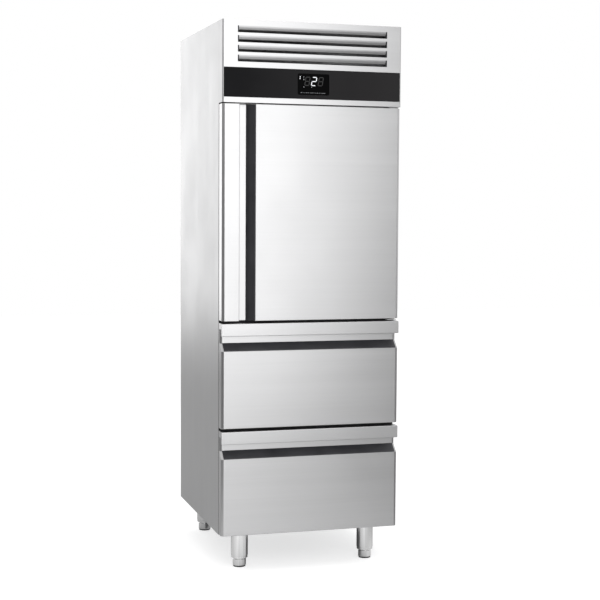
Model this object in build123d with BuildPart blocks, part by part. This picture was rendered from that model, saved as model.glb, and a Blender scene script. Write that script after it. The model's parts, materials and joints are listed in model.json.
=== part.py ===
from build123d import *
import os
from math import cos, pi, radians, sin, sqrt

# Upright stainless cabinet with one door above two drawers, in millimetres.
# Origin on the floor under the middle of the cabinet, +X to the viewer's right, +Y to the back, +Z up.

os.makedirs("parts", exist_ok=True)

# Overall size
width = 700.0
depth = 810.0
height = 2080.0
leg_height = 140.0

# Fronts
front_zone = 60.0
panel_thickness = 52.0
front_lift = 3.0
drawer_height = 398.0
drawer_gap = 11.0
door_gap = 10.0
fascia_gap = 5.0
fascia_height = 305.0

# Sheet metal and insulation
sheet = 1.2
wall = 60.0
cove = 16.0
side_flange = 25.0
frame_plate = 2.0
frame_lip = 12.0
mullion_height = 60.0
mullion_depth = 60.0

# Finger recess of door and drawers
bar_proud = 6.0
bar_thickness = 16.0
bar_hidden = 22.0
recess_depth = 38.0
edge_chamfer = 9.0
grip_strip = 3.0
door_bar = 66.0
door_grip_start = 97.5
door_grip_end = 130.0
drawer_bar = 47.5
drawer_grip_start = 74.0
drawer_grip_end = 105.0

# Seals
seal_width = 22.0
seal_gap = 0.3
seal_side_inset = 19.0
seal_edge_inset = 3.0
rear_flange = 16.0
pan_inset = 26.0
pan_depth = 16.0
pan_corner = 12.0

# Hinges
pivot_from_side = 18.0
pivot_from_rear = 18.0
pin_radius = 5.0
pin_clearance = 0.05
pin_reach = 20.0
bush_wall = 4.0
bush_length = 26.0
hinge_plate = 3.0
hinge_clearance = 1.0
hinge_width = 46.0
hinge_leaf = 34.0
hinge_edge = 2.0
hinge_corner = 6.0
collar_gap = 0.3

# Fascia
trim_height = 19.5
glass_height = 110.5
glass_thickness = 4.0
fascia_bevel = 5.0
glass_gap = 0.2
display_width = 124.0
display_height = 80.0
display_corner = 6.0
display_depth = 16.0
louvre_count = 4
louvre_pitch = 35.8
louvre_opening = 25.0
louvre_margin = 20.5
louvre_side = 58.0
blade_depth = 17.0
blade_drop = 21.0
blade_short = 5.0

# Legs
leg_side_inset = 95.0
leg_front_inset = 111.0
leg_rear_inset = 50.0
sleeve_radius = 32.5
sleeve_bottom = 35.0
sleeve_bore = 26.2
foot_radius = 25.5
foot_rise = 70.0
foot_pad_radius = 24.0
foot_pad = 5.0
leg_flange = 92.0
leg_flange_thickness = 4.0

# Shelf supports and shelves
rack_width = 40.0
rack_depth = 12.0
rack_sheet = 1.5
rack_inset = 62.0
rack_clear = 12.0
slot_width = 12.0
slot_height = 20.0
slot_pitch = 75.0
slot_margin = 40.0
runner_end_gap = 29.0
runner_web = 26.0
runner_ledge = 24.0
runner_lip = 12.0
hook_play = 0.5
hook_drop = 6.0
shelf_count = 3
shelf_side_gap = 11.8
shelf_end_gap = 14.0
shelf_rod = 4.0
shelf_wire = 1.8
shelf_corner = 20.0
corner_steps = 3
wire_pitch = 21.5
cross_rod_share = 0.35
rest_gap = 0.2
weld_gap = 0.05

# Drawer slides and boxes
slide_length = 560.0
slide_height = 46.0
slide_sheet = 1.5
slide_play = 0.4
slide_width = 13.0
slide_pad = 8.0
slide_pad_length = 40.0
slide_fixed_step = 2.5
slide_middle_step = 1.0
slide_setback = 22.0
box_length = 600.0
upper_box_height = 230.0
lower_box_height = 200.0
box_floor_gap = 24.0
box_hem = 6.0

# Rear vents
vent_width = 10.0
vent_height = 180.0
vent_pitch = 50.0
vent_margin = 60.0

# Condensing unit on the roof
unit_side_gap = 50.0
unit_front_gap = 12.0
unit_rear_gap = 78.0
unit_lip = 18.0
compressor_side = 180.0
compressor_rear = 255.0
compressor_radius = 88.0
compressor_height = 190.0
compressor_dome = 36.0
compressor_base = 20.0
compressor_foot = 14.0
compressor_foot_radius = 11.0
compressor_plate = 4.0
compressor_plate_side = 15.0
compressor_plate_end = -10.0
compressor_cap_width = 62.0
compressor_cap_height = 56.0
compressor_cap_reach = 28.0
port_width = 32.0
port_shift_x = -50.0
port_shift_y = 102.0
coil_side = 250.0
coil_setback = 28.0
coil_width = 330.0
coil_height = 230.0
coil_depth = 44.0
coil_border = 9.0
fin_pitch = 16.0
fin_slot = 11.0
fin_groove = 6.0
shroud_depth = 60.0
fan_setback = 34.0
receiver_side = 200.0
receiver_rear = 235.0
receiver_radius = 38.0
receiver_height = 150.0
receiver_round = 12.0
pipe_radius = 5.0
pipe_bend = 9.0
pipe_rise = 50.0
discharge_rise = 60.0
suction_rise = 130.0

# Fans
fan_radius = 96.0
fan_hub = 24.0
fan_hub_length = 26.0
fan_blades = 5
fan_pitch = 28.0
fan_clear = 6.0
blade_sheet = 1.8
shaft_radius = 4.0
shaft_end_gap = 2.0
motor_radius = 34.0
motor_length = 52.0
motor_bore = 30.0
motor_arm = 9.0
motor_arm_thickness = 4.0
fan_ring = 14.0

# Evaporator
evaporator_side_gap = 40.0
evaporator_rear_gap = 14.0
evaporator_length = 460.0
evaporator_height = 128.0
evaporator_fan_radius = 92.0
evaporator_fan_setback = 126.0
evaporator_fan_rise = 26.0
evaporator_coil_gap = 30.0
evaporator_drip_gap = 12.0
evaporator_return_width = 44.0
evaporator_return_pitch = 60.0
evaporator_return_margin = 25.0

# Electrical boxes
control_box_width = 210.0
control_box_height = 96.0
control_box_depth = 52.0
control_box_side = 35.0
terminal_side = 45.0
terminal_width = 110.0
terminal_height = 80.0
terminal_depth = 50.0
gland_radius = 11.0
gland_length = 22.0

# Lines that follow from the sizes above
half = width / 2
front = -depth / 2
back = depth / 2
body_front = front + front_zone
panel_rear = front + panel_thickness
face = front + bar_proud
fascia_bottom = height - fascia_height
glass_bottom = fascia_bottom + trim_height
glass_top = glass_bottom + glass_height
roof = glass_bottom
room_half = half - wall
room_back = back - wall
room_floor = leg_height + wall
room_top = roof - wall
lower_drawer_bottom = leg_height + front_lift
lower_drawer_top = lower_drawer_bottom + drawer_height
upper_drawer_bottom = lower_drawer_top + drawer_gap
upper_drawer_top = upper_drawer_bottom + drawer_height
door_bottom = upper_drawer_top + door_gap
door_top = fascia_bottom - fascia_gap
lower_mullion = (lower_drawer_top + upper_drawer_bottom) / 2
upper_mullion = (upper_drawer_top + door_bottom) / 2
pivot_x = half - pivot_from_side
pivot_y = panel_rear - pivot_from_rear
compressor_x = half - compressor_side
compressor_y = back - compressor_rear
port_x = compressor_x + port_shift_x
port_y = compressor_y + port_shift_y


def save(piece, name):
    piece.part.label = name
    export_step(piece.part, f"parts/{name}.step")


def across(y):
    # Upright plane facing the front: local x to the right, local y up
    return Plane.XZ.offset(-y)


def slab(x0, x1, y0, y1, z0, z1, mode=Mode.ADD):
    with Locations(((x0 + x1) / 2, (y0 + y1) / 2, (z0 + z1) / 2)):
        Box(abs(x1 - x0), abs(y1 - y0), abs(z1 - z0), mode=mode)


def room(grow, y0, mode):
    # The cold room with coved corners, grown by a wall thickness
    with BuildSketch(across(y0)) as shape:
        with Locations((0, (room_floor + room_top) / 2)):
            RectangleRounded(
                2 * (room_half + grow), room_top - room_floor + 2 * grow, cove + grow
            )
    extrude(shape.sketch, amount=y0 - room_back - grow, mode=mode)


def pipe_port(z, tall):
    # Square hole through which the suction pipe passes
    with Locations((port_x, port_y, z)):
        Box(port_width, port_width, tall, mode=Mode.SUBTRACT)


# Cabinet shell


def side_panel(side, name):
    with BuildPart() as panel:
        with BuildSketch(Plane.XY.offset(leg_height)):
            with Locations((side * (half - side_flange / 2), (body_front + back) / 2)):
                Rectangle(side_flange, back - body_front)
            with Locations((side * (half - sheet - side_flange / 2), (body_front + back) / 2)):
                Rectangle(side_flange, back - body_front - 2 * sheet, mode=Mode.SUBTRACT)
        extrude(amount=height - leg_height)
        slab(
            side * (half - side_flange), side * (half - sheet),
            body_front + sheet, back - sheet, height - sheet, height,
        )
    save(panel, name)


side_panel(-1, "side_panel_left")
side_panel(1, "side_panel_right")

vent_columns = int((width - 2 * vent_margin) / vent_pitch)

with BuildPart() as back_panel:
    slab(
        -half + sheet, half - sheet, back - 2 * sheet, back - sheet,
        leg_height + sheet, height - sheet,
    )
    with BuildSketch(across(back)):
        with Locations((0, (roof + height) / 2)):
            with GridLocations(vent_pitch, 1, vent_columns, 1):
                Rectangle(vent_width, vent_height)
    extrude(amount=3 * sheet, mode=Mode.SUBTRACT)
save(back_panel, "back_panel")

leg_spots = [
    (-half + leg_side_inset, front + leg_front_inset),
    (half - leg_side_inset, front + leg_front_inset),
    (-half + leg_side_inset, back - leg_rear_inset),
    (half - leg_side_inset, back - leg_rear_inset),
]

with BuildPart() as base_panel:
    slab(
        -half + sheet, half - sheet, body_front + frame_plate, back - 2 * sheet,
        leg_height, leg_height + sheet,
    )
save(base_panel, "base_panel")

with BuildPart() as roof_deck:
    slab(
        -half + sheet, half - sheet, body_front + frame_plate, back - 2 * sheet,
        roof - sheet, roof,
    )
    pipe_port(roof, 4 * sheet)
save(roof_deck, "roof_deck")

with BuildPart() as insulation:
    slab(
        -half + sheet, half - sheet, body_front + frame_plate, back - 2 * sheet,
        leg_height + sheet, roof - sheet,
    )
    slab(
        -room_half - frame_plate, room_half + frame_plate, body_front, room_back + frame_plate,
        room_floor - frame_plate, room_top + frame_plate, Mode.SUBTRACT,
    )
    pipe_port(roof - wall / 2, 2 * wall)
save(insulation, "cabinet_insulation")

with BuildPart() as inner_liner:
    room(sheet, body_front + frame_lip, Mode.ADD)
    room(0, body_front + frame_lip, Mode.SUBTRACT)
    pipe_port(room_top, 4 * sheet)
save(inner_liner, "inner_liner")

with BuildPart() as front_frame:
    with BuildSketch(across(body_front)):
        with Locations((0, (leg_height + roof) / 2)):
            Rectangle(2 * (half - side_flange), roof - leg_height)
        with Locations((0, (room_floor + room_top) / 2)):
            RectangleRounded(2 * room_half, room_top - room_floor, cove, mode=Mode.SUBTRACT)
    extrude(amount=-frame_plate)
    with BuildSketch(across(body_front)):
        with Locations((0, (room_floor + room_top) / 2)):
            RectangleRounded(
                2 * (room_half + frame_plate), room_top - room_floor + 2 * frame_plate,
                cove + frame_plate,
            )
            RectangleRounded(2 * room_half, room_top - room_floor, cove, mode=Mode.SUBTRACT)
    extrude(amount=-frame_lip)
save(front_frame, "front_frame")

with BuildPart() as mullions:
    for middle in (lower_mullion, upper_mullion):
        with BuildSketch(Plane.YZ.offset(-room_half)):
            with Locations((body_front + mullion_depth / 2, middle)):
                Rectangle(mullion_depth, mullion_height)
                Rectangle(
                    mullion_depth - 2 * sheet, mullion_height - 2 * sheet, mode=Mode.SUBTRACT
                )
        extrude(amount=2 * room_half)
save(mullions, "mullions")

# Legs

with BuildPart() as leg_sleeves:
    for x, y in leg_spots:
        with BuildSketch(Plane.XY.offset(leg_height)):
            with Locations((x, y)):
                Rectangle(leg_flange, leg_flange)
        extrude(amount=-leg_flange_thickness)
        with BuildSketch(Plane.XY.offset(sleeve_bottom)):
            with Locations((x, y)):
                Circle(sleeve_radius)
        extrude(amount=leg_height - sleeve_bottom)
        with BuildSketch(Plane.XY.offset(sleeve_bottom)):
            with Locations((x, y)):
                Circle(sleeve_bore)
        extrude(amount=leg_height - leg_flange_thickness - sleeve_bottom, mode=Mode.SUBTRACT)
save(leg_sleeves, "leg_sleeves")


def foot(spot, name):
    x, y = spot
    with BuildPart() as leg_foot:
        with BuildSketch(Plane.XZ.offset(-y)):
            with BuildLine():
                Polyline(
                    (x, 0), (x + foot_pad_radius, 0), (x + foot_radius, foot_pad),
                    (x + foot_radius, foot_rise), (x, foot_rise), close=True,
                )
            make_face()
        revolve(axis=Axis((x, y, 0), (0, 0, 1)))
    save(leg_foot, name)


foot(leg_spots[0], "foot_front_left")
foot(leg_spots[1], "foot_front_right")
foot(leg_spots[2], "foot_rear_left")
foot(leg_spots[3], "foot_rear_right")

# Door

door_plane = Plane.XY.offset(door_bottom)
left = -half


def door_outline():
    # Plan section of the door: chamfered bar, finger recess, slanted grip seat, flat face
    with BuildLine() as outline:
        Polyline(
            (left, panel_rear),
            (left, front + edge_chamfer),
            (left + edge_chamfer, front),
            (left + door_bar, front),
            (left + door_bar, front + bar_thickness),
            (left + bar_hidden, front + bar_thickness),
            (left + bar_hidden, front + recess_depth),
            (left + door_grip_start + grip_strip, front + recess_depth),
            (left + door_grip_end, face),
            (half - edge_chamfer, face),
            (half, face + edge_chamfer),
            (half, panel_rear),
            close=True,
        )
    make_face(outline.edges())


with BuildPart() as door_skin:
    with BuildSketch(door_plane):
        door_outline()
    extrude(amount=door_top - door_bottom)
    with BuildSketch(Plane.XY.offset(door_bottom + sheet)):
        door_outline()
        offset(amount=-sheet, kind=Kind.INTERSECTION, mode=Mode.REPLACE)
    extrude(amount=door_top - door_bottom - 2 * sheet, mode=Mode.SUBTRACT)
    slab(
        left + rear_flange, half - rear_flange, panel_rear - 2 * sheet, panel_rear + sheet,
        door_bottom + rear_flange, door_top - rear_flange, Mode.SUBTRACT,
    )
    with Locations(
        (pivot_x, pivot_y, door_bottom), (pivot_x, pivot_y, door_top)
    ):
        Cylinder(pin_radius + bush_wall, 4 * sheet, mode=Mode.SUBTRACT)
save(door_skin, "door_skin")

with BuildPart() as door_core:
    with BuildSketch(Plane.XY.offset(door_bottom + sheet)):
        door_outline()
        offset(amount=-sheet, kind=Kind.INTERSECTION, mode=Mode.REPLACE)
    extrude(amount=door_top - door_bottom - 2 * sheet)
    for end, way in ((door_bottom, 1), (door_top, -1)):
        with BuildSketch(Plane.XY.offset(end)):
            with Locations((pivot_x, pivot_y)):
                Circle(pin_radius + bush_wall)
        extrude(amount=way * bush_length, mode=Mode.SUBTRACT)
save(door_core, "door_core")


def rear_pan(z0, z1, thickness_front):
    # Rear sheet of a door: a flat rim between the skin's flanges and a shallow raised pan
    slab(
        left + rear_flange, half - rear_flange, thickness_front, panel_rear,
        z0 + rear_flange, z1 - rear_flange,
    )
    with BuildSketch(across(panel_rear)) as raised:
        with Locations((0, (z0 + z1) / 2)):
            Rectangle(2 * (room_half - pan_inset), z1 - z0 - 2 * pan_edge)
        chamfer(raised.vertices(), pan_corner)
    extrude(raised.sketch, amount=-pan_depth)
    with BuildSketch(across(thickness_front)) as hollow:
        with Locations((0, (z0 + z1) / 2)):
            Rectangle(
                2 * (room_half - pan_inset - sheet), z1 - z0 - 2 * (pan_edge + sheet)
            )
        chamfer(hollow.vertices(), pan_corner - sheet / 2)
    extrude(hollow.sketch, amount=-pan_depth, mode=Mode.SUBTRACT)


pan_edge = (mullion_height - door_gap) / 2 + pan_inset

with BuildPart() as door_liner:
    rear_pan(door_bottom, door_top, panel_rear - sheet)
save(door_liner, "door_liner")


def seal_ring(z0, z1, name):
    # Folded magnetic seal round the rear of a door or drawer front
    rise = front_zone - panel_thickness - seal_gap
    with BuildPart() as seal:
        with BuildSketch(across(panel_rear)):
            with Locations((0, (z0 + z1) / 2)):
                Rectangle(width - 2 * seal_side_inset, z1 - z0 - 2 * seal_edge_inset)
                Rectangle(
                    width - 2 * (seal_side_inset + seal_width),
                    z1 - z0 - 2 * (seal_edge_inset + seal_width),
                    mode=Mode.SUBTRACT,
                )
        extrude(amount=-rise)
    save(seal, name)


seal_ring(door_bottom, door_top, "door_gasket")

with BuildPart() as door_grip:
    with BuildSketch(door_plane):
        with BuildLine():
            Polyline(
                (left + door_grip_start, front + recess_depth),
                (left + door_grip_end - grip_strip, face),
                (left + door_grip_end, face),
                (left + door_grip_start + grip_strip, front + recess_depth),
                close=True,
            )
        make_face()
    extrude(amount=door_top - door_bottom)
save(door_grip, "door_grip")

bush_radius = pin_radius + bush_wall
bush_bore = pin_radius + pin_clearance
lower_plate_top = door_bottom - collar_gap - (door_gap - hinge_plate - collar_gap) / 2

with BuildPart() as door_bushes:
    for low, high in (
        (lower_plate_top + collar_gap, door_bottom + bush_length),
        (door_top - bush_length, door_top),
    ):
        with BuildSketch(Plane.XY.offset(low)):
            with Locations((pivot_x, pivot_y)):
                Circle(bush_radius)
                Circle(bush_bore, mode=Mode.SUBTRACT)
        extrude(amount=high - low)
save(door_bushes, "door_bushes")


def hinge_bracket(plate_z, leaf_z, pin_way, name):
    # Plate reaching forward over the door's end, a leaf screwed to the body, and the pin
    with BuildPart() as bracket:
        slab(
            half - hinge_width, half - hinge_edge, pivot_y - pivot_from_side + hinge_edge,
            body_front,
            plate_z, plate_z + hinge_plate,
        )
        chamfer(bracket.edges().filter_by(Axis.Z).group_by(Axis.Y)[0], hinge_corner)
        low = min(plate_z, leaf_z)
        high = max(plate_z + hinge_plate, leaf_z)
        slab(
            half - seal_side_inset + hinge_edge, half - hinge_edge, body_front - hinge_plate,
            body_front,
            low, high,
        )
        with BuildSketch(Plane.XY.offset(plate_z + hinge_plate / 2)):
            with Locations((pivot_x, pivot_y)):
                Circle(pin_radius)
        extrude(amount=pin_way * (pin_reach + hinge_plate / 2))
    save(bracket, name)


upper_plate = door_top + hinge_clearance
hinge_bracket(upper_plate, upper_plate + hinge_leaf, -1, "hinge_bracket_upper")
hinge_bracket(
    lower_plate_top - hinge_plate, lower_plate_top - hinge_leaf, 1, "hinge_bracket_lower"
)

# Drawers

drawer_end = half - edge_chamfer


def drawer_front_section(top, inward):
    # Side section of a drawer front without its bar, its front contour moved inward
    with BuildLine() as outline:
        Polyline(
            (panel_rear, top),
            (front + bar_thickness, top),
            (front + bar_thickness, top - bar_hidden),
            (front + recess_depth + inward, top - bar_hidden),
            (front + recess_depth + inward, top - drawer_grip_start - grip_strip),
            (face + inward, top - drawer_grip_end),
            (face + inward, top - drawer_height),
            (panel_rear, top - drawer_height),
            close=True,
        )
    make_face(outline.edges())


def drawer_front(top, name):
    bottom = top - drawer_height
    with BuildPart() as skin:
        with BuildSketch(Plane.YZ.offset(-drawer_end)):
            drawer_front_section(top, 0)
        extrude(amount=2 * drawer_end)
        for side in (-1, 1):
            with BuildSketch(Plane.YZ.offset(side * drawer_end)):
                drawer_front_section(top, 0)
            with BuildSketch(Plane.YZ.offset(side * half)):
                drawer_front_section(top, edge_chamfer)
            loft(ruled=True)
        slab(-half, half, front, front + bar_thickness, top - drawer_bar, top)
        cavity = drawer_end - sheet
        with BuildSketch(Plane.YZ.offset(-cavity)):
            drawer_front_section(top, 0)
            with Locations((front + bar_thickness / 2, top - drawer_bar / 2)):
                Rectangle(bar_thickness, drawer_bar)
            offset(amount=-sheet, kind=Kind.INTERSECTION, mode=Mode.REPLACE)
        extrude(amount=2 * cavity, mode=Mode.SUBTRACT)
        slab(
            left + rear_flange, half - rear_flange, panel_rear - 2 * sheet, panel_rear + sheet,
            bottom + rear_flange, top - rear_flange, Mode.SUBTRACT,
        )
    save(skin, name)


def drawer_core(top, name):
    cavity = drawer_end - sheet
    with BuildPart() as core:
        with BuildSketch(Plane.YZ.offset(-cavity)):
            drawer_front_section(top, 0)
            with Locations((front + bar_thickness / 2, top - drawer_bar / 2)):
                Rectangle(bar_thickness, drawer_bar)
            offset(amount=-sheet, kind=Kind.INTERSECTION, mode=Mode.REPLACE)
        extrude(amount=2 * cavity)
    save(core, name)


def drawer_grip(top, name):
    with BuildPart() as grip:
        with BuildSketch(Plane.YZ.offset(-drawer_end)):
            with BuildLine():
                Polyline(
                    (front + recess_depth, top - drawer_grip_start),
                    (face, top - drawer_grip_end + grip_strip),
                    (face, top - drawer_grip_end),
                    (front + recess_depth, top - drawer_grip_start - grip_strip),
                    close=True,
                )
            make_face()
        extrude(amount=2 * drawer_end)
    save(grip, name)


rail_face = room_half - slide_pad - slide_width
box_half = rail_face
rail_front = panel_rear + slide_setback


def drawer_box(top, box_height, name):
    # Rear sheet of the drawer front with the open box behind it
    bottom = top - drawer_height
    sill = lower_mullion + mullion_height / 2
    if bottom < lower_mullion:
        sill = room_floor
    floor = sill + box_floor_gap
    with BuildPart() as box:
        slab(
            left + rear_flange, half - rear_flange, panel_rear - sheet, panel_rear,
            bottom + rear_flange, top - rear_flange,
        )
        with BuildSketch(Plane.XY.offset(floor)):
            with Locations((0, panel_rear + box_length / 2)):
                Rectangle(2 * box_half, box_length)
        extrude(amount=box_height)
        with BuildSketch(Plane.XY.offset(floor + sheet)):
            with Locations((0, panel_rear + box_length / 2)):
                Rectangle(2 * (box_half - sheet), box_length - 2 * sheet)
        extrude(amount=box_height, mode=Mode.SUBTRACT)
        with BuildSketch(Plane.XY.offset(floor + box_height - sheet)):
            with Locations((0, panel_rear + (box_length + box_hem) / 2)):
                Rectangle(2 * (box_half + box_hem), box_length + box_hem)
            with Locations((0, panel_rear + box_length / 2)):
                Rectangle(2 * (box_half - sheet), box_length - 2 * sheet, mode=Mode.SUBTRACT)
        extrude(amount=sheet)
    save(box, name)
    return floor


def channel(x_open, x_web, z_mid, tall, y0, length):
    # One rail of a slide: a channel with its web at x_web, open towards x_open
    low_x, high_x = min(x_open, x_web), max(x_open, x_web)
    step = slide_sheet if x_web < x_open else -slide_sheet
    with BuildSketch(across(y0)) as profile:
        with Locations(((low_x + high_x) / 2, z_mid)):
            Rectangle(high_x - low_x, tall)
        with Locations(((low_x + high_x) / 2 + step, z_mid)):
            Rectangle(high_x - low_x, tall - 2 * slide_sheet, mode=Mode.SUBTRACT)
    extrude(profile.sketch, amount=-length)


middle_tall = slide_height - 2 * (slide_sheet + slide_play)
inner_tall = middle_tall - 2 * (slide_sheet + slide_play)
fixed_web = room_half - slide_pad


def fixed_rails(z_mid):
    for side in (-1, 1):
        channel(
            side * (rail_face + slide_fixed_step), side * fixed_web, z_mid, slide_height,
            rail_front, slide_length,
        )
        for y in (rail_front + slide_pad_length, rail_front + slide_length - 2 * slide_pad_length):
            slab(
                side * fixed_web, side * room_half, y, y + slide_pad_length,
                z_mid - slide_height / 2, z_mid + slide_height / 2,
            )


def middle_rails(z_mid, name):
    with BuildPart() as rails:
        for side in (-1, 1):
            channel(
                side * (rail_face + slide_middle_step),
                side * (fixed_web - slide_sheet - slide_play),
                z_mid, middle_tall, rail_front, slide_length,
            )
    save(rails, name)


def drawer_rails(z_mid, name):
    with BuildPart() as rails:
        for side in (-1, 1):
            channel(
                side * (fixed_web - 2 * (slide_sheet + slide_play)), side * rail_face,
                z_mid, inner_tall, rail_front, slide_length,
            )
    save(rails, name)


def drawer(prefix, top, box_height):
    drawer_front(top, f"{prefix}_skin")
    drawer_core(top, f"{prefix}_core")
    drawer_grip(top, f"{prefix}_grip")
    seal_ring(top - drawer_height, top, f"{prefix}_gasket")
    floor = drawer_box(top, box_height, f"{prefix}_box")
    z_mid = floor + slide_height / 2 + box_floor_gap
    drawer_rails(z_mid, f"{prefix}_rails")
    middle_rails(z_mid, f"{prefix}_middle_rails")
    return z_mid


upper_slide = drawer("upper_drawer", upper_drawer_top, upper_box_height)
lower_slide = drawer("lower_drawer", lower_drawer_top, lower_box_height)

with BuildPart() as drawer_fixed_rails:
    fixed_rails(upper_slide)
    fixed_rails(lower_slide)
save(drawer_fixed_rails, "drawer_fixed_rails")

# Shelf uprights, runners and wire shelves

evaporator_bottom = room_top - evaporator_height
rack_bottom = upper_mullion + mullion_height / 2 + rack_clear
rack_top = evaporator_bottom - rack_clear
rack_rows = (body_front + frame_lip + rack_inset, room_back - rack_inset)
runner_length = room_back - body_front - frame_lip - 2 * runner_end_gap
shelf_length = room_back - body_front - frame_lip - 2 * shelf_end_gap
slot_total = int((rack_top - rack_bottom - 2 * slot_margin) / slot_pitch) + 1
slot_step = (slot_total - 1) // shelf_count
rack_face = room_half - rack_depth


def slot_z(index):
    return rack_bottom + slot_margin + index * slot_pitch


def shelf_uprights(side, name):
    with BuildPart() as rack:
        for y in rack_rows:
            with BuildSketch(Plane.XY.offset(rack_bottom)):
                with Locations((side * (rack_face + rack_depth / 2), y)):
                    Rectangle(rack_depth, rack_width)
                with Locations((side * (rack_face + rack_sheet + rack_depth / 2), y)):
                    Rectangle(rack_depth, rack_width - 2 * rack_sheet, mode=Mode.SUBTRACT)
            extrude(amount=rack_top - rack_bottom)
            with BuildSketch(Plane.YZ.offset(side * (rack_face - rack_sheet))):
                for index in range(slot_total):
                    with Locations((y, slot_z(index) + slot_height / 2)):
                        Rectangle(slot_width, slot_height)
            extrude(amount=side * 3 * rack_sheet, mode=Mode.SUBTRACT)
    save(rack, name)


shelf_uprights(-1, "shelf_uprights_left")
shelf_uprights(1, "shelf_uprights_right")

runner_y = (rack_rows[0] + rack_rows[1]) / 2
tongue = slot_width / 2 - hook_play
hook_inner = rack_face + rack_sheet + hook_play
hook_outer = hook_inner + rack_sheet


def shelf_runners(index, name):
    z0 = slot_z(index)
    with BuildPart() as runners:
        for side in (-1, 1):
            mid = side * (rack_face - runner_ledge / 2)
            with BuildSketch(across(runner_y - runner_length / 2)):
                with Locations((mid, z0 + runner_web / 2)):
                    Rectangle(runner_ledge, runner_web)
                with Locations((mid - side * sheet, z0 + runner_web / 2)):
                    Rectangle(runner_ledge, runner_web - 2 * sheet, mode=Mode.SUBTRACT)
                trim = runner_ledge - runner_lip
                with Locations(
                    (side * (rack_face - runner_ledge + trim / 2), z0 + runner_web - sheet / 2)
                ):
                    Rectangle(trim, sheet, mode=Mode.SUBTRACT)
            extrude(amount=-runner_length)
            for y in rack_rows:
                slab(
                    side * rack_face, side * hook_outer,
                    y - tongue, y + tongue, z0, z0 + slot_height - 2 * hook_play,
                )
                slab(
                    side * hook_inner, side * hook_outer,
                    y - tongue, y + tongue, z0 - hook_drop, z0,
                )
    save(runners, name)


shelf_half_width = rack_face - sheet - shelf_side_gap
wire_count = int((2 * shelf_half_width - 2 * shelf_corner) / wire_pitch)


def half_rim(side, x_edge, y_edge, z):
    # One side of a shelf's rim with its two rounded corners in short steps
    route = [Vector(0, runner_y - y_edge, z)]
    for end in (-1, 1):
        for step in range(corner_steps + 1):
            turn = radians(90.0) * step / corner_steps
            if end > 0:
                turn = radians(90.0) - turn
            route.append(
                Vector(
                    side * (x_edge - shelf_corner + shelf_corner * sin(turn)),
                    runner_y + end * (y_edge - shelf_corner + shelf_corner * cos(turn)),
                    z,
                )
            )
    route.append(Vector(0, runner_y + y_edge, z))
    return Wire.make_polygon(route, close=False)


def wire_shelf(index, name):
    z = slot_z(index) + sheet + rest_gap + shelf_rod
    x_edge = shelf_half_width - shelf_rod
    y_edge = shelf_length / 2 - shelf_rod
    with BuildPart() as shelf:
        for side in (-1, 1):
            path = half_rim(side, x_edge, y_edge, z)
            with BuildSketch(Plane(path @ 0, x_dir=(0, 0, 1), z_dir=path % 0)):
                RegularPolygon(shelf_rod, 8, rotation=180 / 8, major_radius=False)
            sweep(path=path, transition=Transition.RIGHT)
        for y in (-cross_rod_share * y_edge, cross_rod_share * y_edge):
            with BuildSketch(Plane.YZ.offset(-x_edge)):
                with Locations((runner_y + y, z + weld_gap)):
                    RegularPolygon(shelf_rod, 8, rotation=180 / 8, major_radius=False)
            extrude(amount=2 * x_edge)
        with BuildSketch(across(runner_y - y_edge)):
            with Locations((0, z - shelf_rod - shelf_wire)):
                with GridLocations(wire_pitch, 1, wire_count, 1):
                    RegularPolygon(shelf_wire, 4, rotation=45, major_radius=False)
        extrude(amount=-2 * y_edge)
    save(shelf, name)


for number in range(shelf_count):
    shelf_runners(1 + number * slot_step, f"shelf_runners_{number + 1}")
    wire_shelf(1 + number * slot_step, f"wire_shelf_{number + 1}")

# Fascia


def fascia_plan(inset):
    with BuildLine() as outline:
        Polyline(
            (-half, body_front),
            (-half, front + fascia_bevel),
            (-half + fascia_bevel, front),
            (half - fascia_bevel, front),
            (half, front + fascia_bevel),
            (half, body_front),
            close=True,
        )
    make_face(outline.edges())
    if inset:
        offset(amount=-inset, kind=Kind.INTERSECTION, mode=Mode.REPLACE)


glass_half = half - fascia_bevel
louvre_half = half - louvre_side

with BuildPart() as fascia:
    with BuildSketch(Plane.XY.offset(fascia_bottom)):
        fascia_plan(0)
    extrude(amount=height - fascia_bottom)
    with BuildSketch(Plane.XY.offset(fascia_bottom + sheet)):
        fascia_plan(sheet)
    extrude(amount=height - fascia_bottom - 2 * sheet, mode=Mode.SUBTRACT)
    slab(
        -half + sheet, half - sheet, body_front - 2 * sheet, body_front + sheet,
        fascia_bottom + sheet, height - sheet, Mode.SUBTRACT,
    )
    slab(
        -half, half, body_front - hinge_plate - hinge_clearance, body_front + sheet,
        fascia_bottom - sheet, fascia_bottom + 2 * sheet, Mode.SUBTRACT,
    )
    slab(
        -glass_half, glass_half, front, front + glass_thickness + glass_gap + sheet,
        glass_bottom - sheet, glass_top + sheet,
    )
    slab(
        -glass_half, glass_half, front - sheet, front + glass_thickness + glass_gap,
        glass_bottom, glass_top, Mode.SUBTRACT,
    )
    slab(
        -display_width / 2, display_width / 2, front, front + glass_thickness + 3 * sheet,
        (glass_bottom + glass_top - display_height) / 2,
        (glass_bottom + glass_top + display_height) / 2, Mode.SUBTRACT,
    )
    for step in range(louvre_count):
        sill = glass_top + louvre_margin + step * louvre_pitch
        head = sill + louvre_opening
        slab(
            -louvre_half, louvre_half, front - sheet, front + 2 * sheet,
            sill, head, Mode.SUBTRACT,
        )
        with BuildSketch(Plane.YZ.offset(-louvre_half + blade_short)):
            with BuildLine():
                Polyline(
                    (front, head), (front + blade_depth, head - blade_drop),
                    (front + blade_depth, head - blade_drop + 2 * sheet),
                    (front, head + 2 * sheet), close=True,
                )
            make_face()
        extrude(amount=2 * (louvre_half - blade_short))
save(fascia, "fascia_panel")

display_middle = (glass_bottom + glass_top) / 2

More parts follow.
